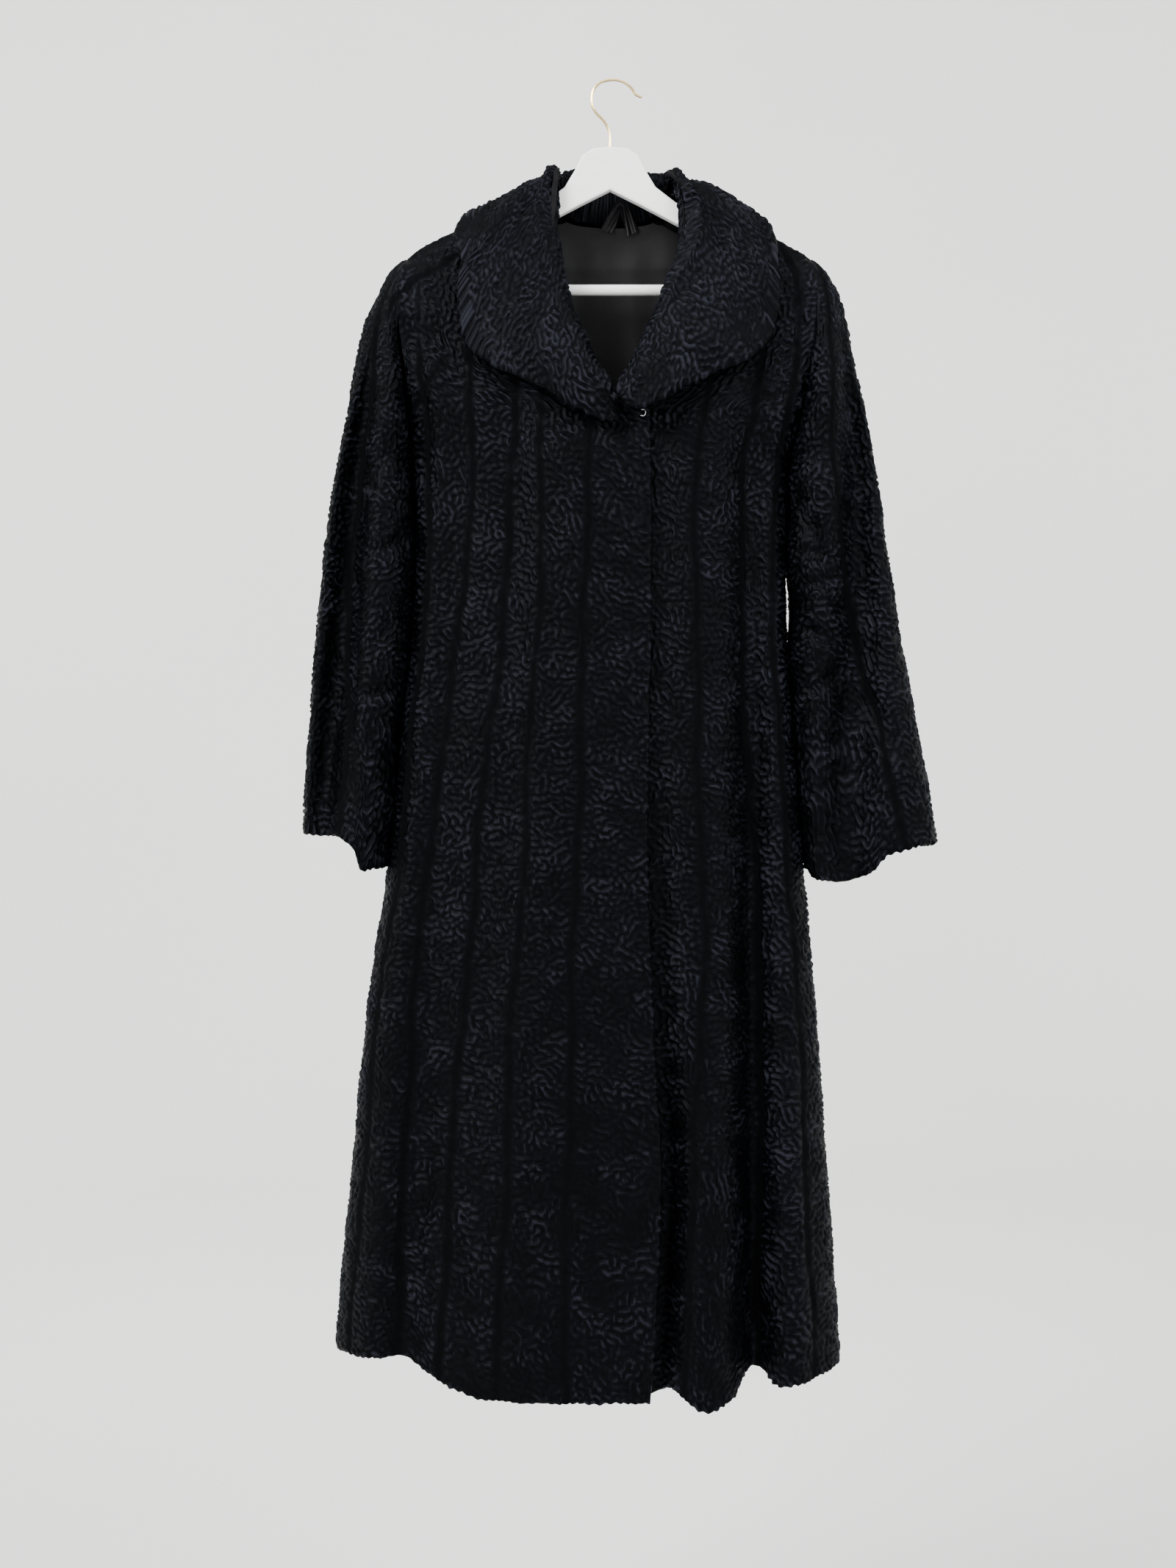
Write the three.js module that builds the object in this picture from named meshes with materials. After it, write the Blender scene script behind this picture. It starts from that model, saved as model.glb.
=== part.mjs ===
// Long fur coat on a flat wooden hanger. Millimetres, +Z up, the front faces -Y.
// The origin is the inside top of the hanger's hook, where a rail bears on it.
// Heights are written as drops, the distance below the origin.
// Right and left are the wearer's, so the right side of the coat lies towards -X.
import * as THREE from 'three';

// Driving sizes
const WALL = 5;
const COLLAR_WALL = 7;
const LINING_WALL = 1.5;
const SEAM_GAP = 0.3;
const BAND_DEPTH = 1.8;
const BAND_WIDTH = 8;
const BAND_SHOULDER = 2.5;
const NECK_DROP = 109;
const ARMHOLE_DROP = 184;
const SIDE_HEM_DROP = 1315;
const BODY_FLATNESS = 0.7;
const SLEEVE_FLATNESS = 0.8;
const FLUSH_FLATNESS = 2.2;
const FLUSH_FULL_DROP = 215;
const FLUSH_END_DROP = 330;
const CLOSURE_START = 275;
const CLOSURE_END = 308;
const UNDERLAP_HOLD = 7;
const UNDERLAP_RAMP = 16;
const MIN_COLUMN = 1.6;
const FRONT_COLUMNS = 2;
const BACK_COLUMNS = 1;
const VALLEY_WIDTH = 0.13;
const BACK_VALLEY_AT = 0.5;
const BACK_VALLEY_SHARE = 0.3;
const ROLL_RADIUS = 8.5;
const ROLL_STEPS = 4;
const FALL_STEPS = 5;
const COLLAR_CLEAR = 4.4;
const OFF_BODY_STEP = 0.5;
const OFF_BODY_STEPS = 100;
const LINING_ROWS = 7;
const LINING_COLUMNS = 10;
const LINING_CLEAR = 2.5;
const LINING_TOP_HALF = 46;
const LINING_HALF = 140;
const LINING_TOP_DROP = 131;
const LINING_DROP = 400;
const RIBBON_WALL = 1.6;
const RIBBON_Y = 31.8;

// Hanger sizes
const WOOD_THICK = 12;
const BAR_RADIUS = 5.6;
const BAR_DROP = 215.5;
const BAR_HALF = 197.4;
const WIRE_RADIUS = 1.5;
const WOOD_ROUND = 2;

// Turns rows of numbers into rows with named columns
function table(columns, rows) {
  return rows.map((row) => Object.fromEntries(columns.map((name, i) => [name, row[i]])));
}

// The body from neck to hem: how far it reaches to each side of the centre, how far in front of
// the middle plane its armhole edge lies, and its depth in front and behind
const BODY = table(
  ['drop', 'right', 'left', 'armhole', 'front', 'back'],
  [
    [109, 64, 66, 0, 10, 16],
    [124, 98, 104, 0, 17, 32],
    [141, 132, 138, 0, 22, 42],
    [158, 166, 163, 0, 26, 46],
    [171, 192, 185, 0, 29, 47],
    [183, 208, 205, 1, 31, 47],
    [191, 212, 209, 16, 32, 48],
    [201, 214, 211, 25, 34, 49],
    [222, 216, 212, 32, 38, 51],
    [252, 216, 210, 37, 45, 54],
    [300, 212, 205, 36, 54, 57],
    [345, 208, 197, 22, 60, 59],
    [372, 205, 190, 10, 63, 60],
    [395, 204, 185, 0, 65, 61],
    [478, 201, 181, 0, 67, 63],
    [584, 206, 183, 0, 70, 66],
    [691, 218, 190, 0, 73, 70],
    [815, 230, 200, 0, 77, 75],
    [942, 249, 211, 0, 84, 82],
    [1124, 267, 224, 0, 93, 92],
    [1299, 283, 236, 0, 101, 101],
  ],
);

// How far the neckline lies from the middle, down to the closure, on each front
const NECKLINE = table(
  ['drop', 'right', 'left'],
  [
    [109, -63, 65],
    [115, -74, 80],
    [130, -75, 86],
    [178, -75, 88],
    [206, -73, 85],
    [234, -66, 76],
    [260, -58, 66],
    [290, -44, 52],
    [316, -28, 36],
    [330, -6, 20],
    [341, 30, 2],
    [352, 40, -8],
    [480, 42, -8],
    [795, 38, -10],
    [1000, 45, -8],
    [1116, 51, -6],
    [1230, 46, -6],
    [1340, 37, -6],
  ],
);

// How deep the left front lies under the edge of the right front
const UNDERLAP = table(
  ['drop', 'depth'],
  [
    [300, 7.4],
    [500, 8.4],
    [800, 12],
    [1000, 18],
    [1200, 27],
    [1340, 35],
  ],
);

// Where the back's neckline lies, from the right shoulder to the left
const BACK_NECK = table(
  ['x', 'neck'],
  [
    [-64, 109],
    [-58, 126],
    [-48, 134],
    [-30, 139],
    [0, 141],
    [32, 139],
    [50, 134],
    [60, 126],
    [66, 109],
  ],
);

// The plain bands between the strips of fur, as angles round the body from the middle
const FRONT_BANDS = table(
  ['name', 'top', 'middle', 'hem'],
  [
    ['side right', -66, -70, -69],
    ['outer right', -42, -52, -48],
    ['second right', -27, -34, -35],
    ['third right', -18, -20, -20],
    ['inner right', -4, -5, -5],
    ['inner left', 30, 30, 22],
    ['second left', 49, 49, 42],
    ['side left', 68, 66, 62],
  ],
);

const BACK_BANDS = table(
  ['name', 'top', 'middle', 'hem'],
  [
    ['side right', -64, -66, -68],
    ['outer right', -44, -46, -50],
    ['second right', -29, -30, -32],
    ['inner right', -10, -10, -11],
    ['inner left', 10, 10, 11],
    ['second left', 29, 30, 32],
    ['outer left', 44, 46, 50],
    ['side left', 64, 66, 68],
  ],
);

// Hanging folds: where each one lies across the body, how wide it is and how far it sinks in
const FRONT_FOLDS = table(
  ['name', 'topX', 'hemX', 'width', 'topDepth', 'middleDepth', 'hemDepth'],
  [
    ['deep valley beside the left sleeve', 143, 144, 17, 10, 24, 36],
    ['swell of the left front', 96, 98, 26, -2, -5, -11],
    ['hollow below the collar', -98, -165, 26, 9, 6, 5],
    ['valley at the outer right band', -143, -207, 24, 6, 10, 18],
    ['swell of the right front', -50, -80, 44, -2, -3, -6],
    ['swell near the right side', -175, -243, 20, -3, -6, -8],
    ['swell near the left side', 172, 190, 18, -2, -5, -9],
  ],
);

const BACK_FOLDS = table(
  ['name', 'topX', 'hemX', 'width', 'topDepth', 'middleDepth', 'hemDepth'],
  [
    ['valley right of the middle', -62, -84, 22, 2, 9, 20],
    ['valley left of the middle', 52, 66, 22, 2, 10, 21],
    ['outer valley right', -128, -178, 22, 3, 11, 22],
    ['outer valley left', 116, 150, 20, 3, 11, 22],
    ['swell of the middle', -4, -8, 30, -1, -4, -9],
  ],
);

// The lower edge of the fronts and of the back, from the right side to the left
const FRONT_HEM = table(
  ['x', 'hem'],
  [
    [-283, 1303],
    [-215, 1302],
    [-170, 1324],
    [-130, 1337],
    [38, 1340],
    [58, 1330],
    [92, 1348],
    [122, 1340],
    [145, 1315],
    [168, 1330],
    [200, 1326],
    [236, 1318],
  ],
);

const BACK_HEM = table(
  ['x', 'hem'],
  [
    [-283, 1303],
    [-200, 1318],
    [-90, 1334],
    [0, 1340],
    [90, 1337],
    [180, 1328],
    [236, 1318],
  ],
);

// The sleeves from the shoulder to the cuff: inner and outer reach, the swell in front and
// behind, where the long valley of the front lies (0 inner edge, 1 outer edge) and its depth
const SLEEVE_COLUMNS = ['drop', 'inner', 'outer', 'front', 'back', 'valleyAt', 'valley'];

const RIGHT_SLEEVE = table(
  SLEEVE_COLUMNS,
  [
    [186, 209, 216, 3, 3, 0.6, 0],
    [191, 211, 222, 4, 4, 0.6, 0],
    [201, 214, 231, 7, 7, 0.6, 0],
    [222, 216, 241, 12, 13, 0.55, 0],
    [252, 216, 255, 20, 21, 0.52, 4],
    [300, 212, 265, 33, 31, 0.55, 14],
    [345, 208, 272, 46, 42, 0.6, 27],
    [395, 204, 282, 54, 49, 0.63, 33],
    [478, 201, 294, 58, 54, 0.645, 37],
    [584, 206, 304, 60, 58, 0.645, 37],
    [691, 217, 312, 60, 60, 0.65, 33],
    [776, 229.6, 318, 60, 62, 0.65, 28],
  ],
);

const LEFT_SLEEVE = table(
  SLEEVE_COLUMNS,
  [
    [186, 206, 212, 3, 3, 0.6, 0],
    [191, 208, 218, 4, 4, 0.6, 0],
    [201, 211, 226, 7, 7, 0.6, 0],
    [222, 212, 237, 12, 13, 0.62, 0],
    [252, 210, 245, 20, 21, 0.64, 4],
    [300, 205, 254, 33, 31, 0.66, 14],
    [345, 197, 264, 46, 42, 0.66, 25],
    [395, 185, 273, 54, 49, 0.66, 31],
    [478, 182, 285, 58, 54, 0.61, 36],
    [545, 186, 295, 59, 56, 0.57, 36],
    [600, 184, 304, 60, 58, 0.53, 36],
    [691, 190, 321, 60, 60, 0.46, 33],
    [786, 199, 338, 58, 62, 0.4, 28],
  ],
);

// The cuff's lower edge round each half, from the inner edge (0) to the outer edge (1)
const RIGHT_CUFF = table(
  ['place', 'front', 'back'],
  [
    [0, 808, 808],
    [0.2, 812, 812],
    [0.34, 814, 812],
    [0.42, 792, 790],
    [0.55, 780, 778],
    [1, 776, 776],
  ],
);

const LEFT_CUFF = table(
  ['place', 'front', 'back'],
  [
    [0, 800, 800],
    [0.2, 824, 814],
    [0.34, 826, 820],
    [0.46, 820, 816],
    [0.57, 798, 800],
    [0.77, 789, 791],
    [1, 786, 786],
  ],
);

// Bands along the front and the back of a sleeve, as places from the inner to the outer edge
const RIGHT_SLEEVE_BANDS = table(
  ['name', 'top', 'middle', 'cuff'],
  [
    ['slanting band', 0.12, 0.3, 0.44],
    ['valley band', 0.5, 0.66, 0.76],
  ],
);

const LEFT_SLEEVE_BANDS = table(
  ['name', 'top', 'middle', 'cuff'],
  [
    ['slanting band', 0.14, 0.34, 0.24],
    ['valley band', 0.5, 0.74, 0.66],
  ],
);

const SLEEVE_BACK_BANDS = table(
  ['name', 'top', 'middle', 'cuff'],
  [
    ['inner band', 0.3, 0.34, 0.32],
    ['outer band', 0.68, 0.7, 0.7],
  ],
);

// The collar from its front end on the right, round the back of the neck, to its end on the left:
// where its stand is sewn on, where it turns over, where it ends, and how far it swells between
const COLLAR = table(
  [
    'baseX', 'baseY', 'baseDrop', 'rollX', 'rollY', 'rollDrop',
    'edgeX', 'edgeY', 'edgeDrop', 'swell',
  ],
  [
    [-2, -62, 337, 1, -72, 323, 10, -80, 362, 1],
    [-13, -60, 327, -6, -71, 311, -10, -80, 361, 3],
    [-25, -58, 312, -16, -69, 297, -37, -79, 349, 5],
    [-38, -51, 284, -31, -62, 265, -68, -76, 330, 7],
    [-50, -40, 256, -44, -54, 236, -95, -72, 317, 8],
    [-58, -33, 224, -52, -45, 204, -122, -68, 305, 9],
    [-62, -26, 190, -57, -36, 173, -147, -60, 284, 9],
    [-61, -19, 161, -61, -27, 148, -154, -56, 250, 9],
    [-60, -14, 132, -60, -20, 125, -156, -50, 220, 9],
    [-58, -9, 103, -60, -12, 94, -153, -38, 194, 10],
    [-57, -2, 98, -60, -3, 88, -148, -22, 176, 10],
    [-57, 6, 96, -60, 7, 84, -139, -8, 160, 9],
    [-50, 23, 120, -56, 29, 88, -136, 22, 156, 9],
    [-40, 33, 132, -42, 44, 79, -126, 56, 172, 10],
    [-24, 38, 136, -22, 50, 76, -78, 72, 190, 8],
    [0, 40, 138, 0, 52, 75, 0, 77, 197, 7],
    [24, 38, 136, 22, 50, 76, 82, 72, 190, 8],
    [42, 33, 132, 40, 44, 81, 136, 56, 174, 10],
    [52, 23, 121, 57, 30, 86, 150, 22, 158, 10],
    [61, 6, 99, 67, 8, 87, 157, -8, 160, 14],
    [63, -2, 101, 69, -3, 91, 163, -22, 178, 13],
    [66, -9, 108, 73, -14, 101, 172, -38, 194, 11],
    [70, -17, 144, 78, -22, 138, 173, -52, 226, 10],
    [72, -22, 178, 77, -28, 166, 170, -58, 254, 10],
    [70, -28, 206, 70, -37, 192, 160, -64, 280, 10],
    [64, -33, 234, 61, -45, 214, 142, -70, 298, 10],
    [56, -41, 260, 51, -54, 240, 108, -76, 313, 9],
    [43, -48, 290, 36, -62, 270, 74, -84, 329, 7],
    [30, -56, 316, 22, -72, 298, 44, -92, 346, 5],
    [20, -62, 332, 12, -80, 314, 28, -96, 352, 3],
    [12, -68, 342, 5, -86, 326, 15, -98, 347, 1],
  ],
);

// Outlines of the hanger's wooden arms: the upper edge and the lower edge
const WOOD_UPPER = table(
  ['x', 'drop'],
  [
    [0, 68],
    [18, 70],
    [29, 77],
    [36, 92],
    [47, 110],
    [68, 126],
    [110, 142],
    [150, 159],
    [182, 175.8],
    [206, 194],
    [213, 207],
  ],
);

const WOOD_LOWER = table(
  ['x', 'drop'],
  [
    [213, 222],
    [199, 222],
    [198, 210],
    [182, 203],
    [150, 189],
    [110, 169],
    [68, 148],
    [30, 128],
    [0, 113],
  ],
);

const HOOK_PATH = table(
  ['x', 'drop'],
  [
    [0, 67.6],
    [0, 57],
    [-2, 48],
    [-8, 39],
    [-14, 33],
    [-18, 26],
    [-19, 17],
    [-17, 8],
    [-11, 1.5],
    [-3, -1.5],
    [9, -1.5],
    [18, 3],
    [24, 9],
    [26, 13],
    [33, 16],
  ],
);

const RIBBON_OUTLINE = table(
  ['x', 'drop'],
  [
    [-9, 144],
    [6, 119],
    [12, 123],
    [17, 118],
    [25, 122],
    [28, 146],
    [19, 146],
    [17, 131],
    [13, 134],
    [10, 144],
    [8, 133],
    [0, 144],
  ],
);

// Value of a named column at one drop, or at one value of another key, carried smoothly
// from row to row
function valueAt(rows, at, column, key = 'drop') {
  const last = rows.length - 1;
  if (at <= rows[0][key]) {
    return rows[0][column];
  }
  if (at >= rows[last][key]) {
    return rows[last][column];
  }
  let i = 0;
  while (rows[i + 1][key] < at) {
    i += 1;
  }
  const span = rows[i + 1][key] - rows[i][key];
  const t = (at - rows[i][key]) / span;
  const startSlope = slopeAt(rows, i, column, key) * span;
  const endSlope = slopeAt(rows, i + 1, column, key) * span;
  const square = t * t;
  const cube = square * t;
  return (2 * cube - 3 * square + 1) * rows[i][column]
    + (cube - 2 * square + t) * startSlope
    + (3 * square - 2 * cube) * rows[i + 1][column]
    + (cube - square) * endSlope;
}

// Slope of a column at one row, level where the column turns round
function slopeAt(rows, i, column, key) {
  const here = rows[i];
  const before = rows[i - 1];
  const after = rows[i + 1];
  const slope = (from, to) => (to[column] - from[column]) / (to[key] - from[key]);
  if (!before) {
    return slope(here, after);
  }
  if (!after) {
    return slope(before, here);
  }
  const first = slope(before, here);
  const second = slope(here, after);
  return first * second <= 0 ? 0 : (2 * first * second) / (first + second);
}

function smoothStep(low, high, value) {
  const t = Math.min(Math.max((value - low) / (high - low), 0), 1);
  return t * t * (3 - 2 * t);
}

function mix(a, b, t) {
  return a + (b - a) * t;
}

// A value given at the top, the middle and the hem, followed down the coat
function alongThree(top, middle, hem, t) {
  if (t < 0.5) {
    return mix(top, middle, smoothStep(0, 0.5, t));
  }
  return mix(middle, hem, smoothStep(0.5, 1, t));
}

// Share of the way from the underarm to the hem, and of the folds that have opened there
function hangShare(drop) {
  return Math.min(Math.max((drop - 300) / (1320 - 300), 0), 1);
}

function foldDepth(folds, x, drop) {
  const t = hangShare(drop);
  const opening = smoothStep(250, 420, drop);
  let depth = 0;
  for (const fold of folds) {
    const middle = mix(fold.topX, fold.hemX, t);
    const offset = (x - middle) / fold.width;
    const sink = alongThree(fold.topDepth, fold.middleDepth, fold.hemDepth, t);
    depth += sink * opening * Math.exp(-offset * offset);
  }
  return depth;
}

// Share by which body and sleeve run flush into each other in front, below the shoulder
function flushShare(face, drop) {
  if (face > 0) {
    return 0;
  }
  const below = smoothStep(ARMHOLE_DROP, ARMHOLE_DROP + 12, drop);
  return below * (1 - smoothStep(FLUSH_FULL_DROP, FLUSH_END_DROP, drop));
}

// One point of the body's surface; face is -1 in front and 1 behind
function bodyPoint(face, drop, angle) {
  const right = valueAt(BODY, drop, 'right');
  const left = valueAt(BODY, drop, 'left');
  const armhole = valueAt(BODY, drop, 'armhole');
  const depth = valueAt(BODY, drop, face < 0 ? 'front' : 'back');
  const x = (left - right) / 2 + ((left + right) / 2) * Math.sin(angle);
  const flatness = mix(BODY_FLATNESS, FLUSH_FLATNESS, flushShare(face, drop));
  const round = Math.max(Math.cos(angle), 0) ** flatness;
  const folds = face < 0 ? FRONT_FOLDS : BACK_FOLDS;
  const sink = foldDepth(folds, x, drop) * Math.min(1, 1.6 * round);
  const y = face * (armhole + (depth - armhole) * round - sink);
  return new THREE.Vector3(x, y, -drop);
}

function angleOfX(drop, x) {
  const right = valueAt(BODY, drop, 'right');
  const left = valueAt(BODY, drop, 'left');
  const share = (x - (left - right) / 2) / ((left + right) / 2);
  return Math.asin(Math.min(Math.max(share, -1), 1));
}

// Drops of the rows that the body and the sleeves share
const SLEEVE_DROPS = [
  186, 192, 201, 214, 232, 256, 283, 312, 335, 357, 378, 400, 450, 520, 600, 690,
];

// Drops of the rows of a panel, closer together where the shoulder slopes
function bodyDrops() {
  const shoulder = [NECK_DROP, 117, 126, 137, 148, 160, 173];
  const skirt = [780, 870, 960, 1050, 1140, 1230];
  return [...shoulder, ...SLEEVE_DROPS, ...skirt, SIDE_HEM_DROP];
}

// Lowers the last part of a panel to the hem's own line
function withHem(hem, drop, x) {
  const blend = smoothStep(1100, SIDE_HEM_DROP, drop);
  const edge = valueAt(hem, x, 'hem', 'x');
  return drop + (edge - SIDE_HEM_DROP) * blend;
}

// Bands become four columns, strips have a few columns between them
function columnAngles(bands, between, drop, startX, endX) {
  const half = (valueAt(BODY, drop, 'left') + valueAt(BODY, drop, 'right')) / 2;
  const t = hangShare(drop);
  const edge = BAND_WIDTH / 2;
  const lip = edge + BAND_SHOULDER;
  const columns = [];
  for (const band of bands) {
    const angle = THREE.MathUtils.degToRad(alongThree(band.top, band.middle, band.hem, t));
    const perMm = 1 / (half * Math.max(Math.cos(angle), 0.45));
    const offsets = [-lip, -edge, edge, lip];
    offsets.forEach((offset) => {
      columns.push({ angle: angle + offset * perMm, low: Math.abs(offset) < lip });
    });
  }
  const filled = [];
  columns.forEach((column, i) => {
    filled.push(column);
    const strip = i % 4 === 3 && i < columns.length - 1;
    if (strip) {
      const next = columns[i + 1].angle;
      for (let k = 1; k <= between; k += 1) {
        filled.push({ angle: mix(column.angle, next, k / (between + 1)), low: false });
      }
    }
  });
  const start = angleOfX(drop, startX);
  const end = angleOfX(drop, endX);
  const all = [{ angle: start, low: false }];
  const beforeFirst = mix(start, filled[0].angle, 0.5);
  const afterLast = mix(filled[filled.length - 1].angle, end, 0.5);
  all.push({ angle: beforeFirst, low: false });
  all.push(...filled);
  all.push({ angle: afterLast, low: false });
  all.push({ angle: end, low: false });
  return spreadOut(all, half);
}

// Keeps columns in order inside the panel where the neckline cuts across the bands
function spreadOut(columns, half) {
  const count = columns.length - 1;
  const start = columns[0].angle;
  const end = columns[count].angle;
  const step = Math.min(MIN_COLUMN / half, (end - start) / (2 * count));
  for (let i = 1; i < count; i += 1) {
    const least = columns[i - 1].angle + step;
    if (columns[i].angle < least) {
      columns[i].angle = least;
      columns[i].low = false;
    }
  }
  for (let i = count - 1; i > 0; i -= 1) {
    const most = columns[i + 1].angle - step;
    if (columns[i].angle > most) {
      columns[i].angle = most;
      columns[i].low = false;
    }
  }
  return columns;
}

// Grid of surface points of one panel, with the depth of the band at each
function panelGrid(face, bands, hem, startX, endX, shape) {
  const between = face < 0 ? FRONT_COLUMNS : BACK_COLUMNS;
  return bodyDrops().map((drop) => {
    const columns = columnAngles(bands, between, drop, startX(drop), endX(drop));
    return columns.map((column) => {
      const x = bodyPoint(face, drop, column.angle).x;
      const lowered = withHem(hem, drop, x);
      const point = bodyPoint(face, lowered, column.angle);
      return { point: shape(point, drop), low: column.low ? BAND_DEPTH : 0 };
    });
  });
}

function gridNormals(grid, outward) {
  const rows = grid.length;
  const columns = grid[0].length;
  return grid.map((row, i) => row.map((cell, j) => {
    const before = grid[i][Math.max(j - 1, 0)].point;
    const after = grid[i][Math.min(j + 1, columns - 1)].point;
    const above = grid[Math.max(i - 1, 0)][j].point;
    const below = grid[Math.min(i + 1, rows - 1)][j].point;
    const across = after.clone().sub(before);
    const down = below.clone().sub(above);
    return across.cross(down).normalize().multiplyScalar(outward);
  }));
}

// Closed wall between a grid of outer points and its inner points
function wallGeometry(outer, inner, outward) {
  const rows = outer.length;
  const columns = outer[0].length;
  const size = rows * columns;
  const points = [...outer.flat(), ...inner.flat()];
  const positions = points.flatMap((point) => [point.x, point.y, point.z]);
  const index = [];
  const quad = (a, b, c, d) => {
    if (outward > 0) {
      index.push(a, c, b, a, d, c);
    } else {
      index.push(a, b, c, a, c, d);
    }
  };
  const cell = (i, j) => i * columns + j;
  const under = (i, j) => size + cell(i, j);
  for (let i = 0; i < rows - 1; i += 1) {
    for (let j = 0; j < columns - 1; j += 1) {
      quad(cell(i, j), cell(i + 1, j), cell(i + 1, j + 1), cell(i, j + 1));
      quad(under(i, j), under(i, j + 1), under(i + 1, j + 1), under(i + 1, j));
    }
    const end = columns - 1;
    quad(cell(i, 0), under(i, 0), under(i + 1, 0), cell(i + 1, 0));
    quad(cell(i, end), cell(i + 1, end), under(i + 1, end), under(i, end));
  }
  for (let j = 0; j < columns - 1; j += 1) {
    const end = rows - 1;
    quad(cell(0, j), cell(0, j + 1), under(0, j + 1), under(0, j));
    quad(cell(end, j), under(end, j), under(end, j + 1), cell(end, j + 1));
  }
  const geometry = new THREE.BufferGeometry();
  geometry.setAttribute('position', new THREE.Float32BufferAttribute(positions, 3));
  geometry.setIndex(index);
  geometry.computeVertexNormals();
  return geometry;
}

// Draws a seam's column in by half the seam gap, and squares its normals to the seam's plane;
// below the given drop the normals are level too
function trimSeam(grid, normals, edge, next, levelDrop) {
  grid.forEach((row, i) => {
    const away = row[next].point.clone().sub(row[edge].point).normalize();
    row[edge].point.addScaledVector(away, SEAM_GAP / 2);
    const normal = normals[i][edge].setY(0);
    if (-row[edge].point.z > levelDrop) {
      normal.setZ(0);
    }
    normal.normalize();
  });
}

// The outer points sink at the bands, the inner points stay plain
function furWall(grid, thickness, outward, seams) {
  const normals = gridNormals(grid, outward);
  const last = grid[0].length - 1;
  if ('start' in seams) {
    trimSeam(grid, normals, 0, 1, seams.start);
  }
  if ('end' in seams) {
    trimSeam(grid, normals, last, last - 1, seams.end);
  }
  const sunk = (cell, i, j, depth) => cell.point.clone().addScaledVector(normals[i][j], -depth);
  const outer = grid.map((row, i) => row.map((cell, j) => sunk(cell, i, j, cell.low)));
  const inner = grid.map((row, i) => row.map((cell, j) => sunk(cell, i, j, thickness)));
  return wallGeometry(outer, inner, outward);
}

function material(colour, roughness, metalness) {
  return new THREE.MeshStandardMaterial({ color: colour, roughness, metalness });
}

function named(name, geometry, look) {
  const mesh = new THREE.Mesh(geometry, look);
  mesh.name = name;
  return mesh;
}

function furLook() {
  return material(0x14151b, 0.6, 0);
}

function frontRight() {
  const bands = FRONT_BANDS.filter((band) => band.top < 0);
  const start = (drop) => -valueAt(BODY, drop, 'right');
  const end = (drop) => valueAt(NECKLINE, drop, 'right');
  const grid = panelGrid(-1, bands, FRONT_HEM, start, end, (point) => point);
  return named('front_right', furWall(grid, WALL, -1, { start: ARMHOLE_DROP }), furLook());
}

// The left front goes under the right one and comes forward again beyond its edge
function underlapped(point, drop) {
  const held = valueAt(NECKLINE, drop, 'right') + UNDERLAP_HOLD;
  const beyond = Math.max(point.x - held, 0) / UNDERLAP_RAMP;
  const depth = valueAt(UNDERLAP, drop, 'depth') * smoothStep(CLOSURE_START, CLOSURE_END, drop);
  return point.clone().setY(point.y + depth * Math.exp(-beyond * beyond));
}

function frontLeft() {
  const bands = FRONT_BANDS.filter((band) => band.top > 0);
  const start = (drop) => valueAt(NECKLINE, drop, 'left');
  const end = (drop) => valueAt(BODY, drop, 'left');
  const grid = panelGrid(-1, bands, FRONT_HEM, start, end, underlapped);
  return named('front_left', furWall(grid, WALL, -1, { end: ARMHOLE_DROP }), furLook());
}

// Lowers the top of the back to its neckline
function backPoint(point, drop) {
  const neck = valueAt(BACK_NECK, point.x, 'neck', 'x');
  const share = 1 - smoothStep(NECK_DROP, 215, drop);
  const lowered = -point.z + (neck - NECK_DROP) * share;
  return bodyPoint(1, lowered, angleOfX(lowered, point.x));
}

function back() {
  const start = (drop) => -valueAt(BODY, drop, 'right');
  const end = (drop) => valueAt(BODY, drop, 'left');
  const grid = panelGrid(1, BACK_BANDS, BACK_HEM, start, end, backPoint);
  const seams = { start: ARMHOLE_DROP, end: ARMHOLE_DROP };
  return named('back', furWall(grid, WALL, 1, seams), furLook());
}

// One point of a sleeve; place runs from its inner edge (0) to its outer edge (1)
function sleevePoint(rows, side, face, drop, place) {
  const bodyReach = valueAt(BODY, drop, side < 0 ? 'right' : 'left');
  const inner = Math.max(valueAt(rows, drop, 'inner'), bodyReach) + SEAM_GAP;
  const outer = valueAt(rows, drop, 'outer');
  const armhole = valueAt(BODY, drop, 'armhole');
  const swell = valueAt(rows, drop, face < 0 ? 'front' : 'back');
  const turn = Math.cos(Math.PI * place);
  const flush = flushShare(face, drop) * (1 - smoothStep(0.3, 0.6, place));
  const flatness = mix(SLEEVE_FLATNESS, FLUSH_FLATNESS, flush);
  const round = Math.max(Math.sin(Math.PI * place), 0) ** flatness;
  const valleyAt = face < 0 ? valueAt(rows, drop, 'valleyAt') : BACK_VALLEY_AT;
  const valleyShare = face < 0 ? 1 : BACK_VALLEY_SHARE;
  const offset = (place - valleyAt) / VALLEY_WIDTH;
  const valley = valueAt(rows, drop, 'valley') * valleyShare * Math.exp(-offset * offset);
  const x = side * (inner + (outer - inner) * (1 - turn) / 2);
  const y = face * (armhole * (1 + turn) / 2 + swell * round - valley * Math.min(1, 1.5 * round));
  return new THREE.Vector3(x, y, -drop);
}

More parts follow.
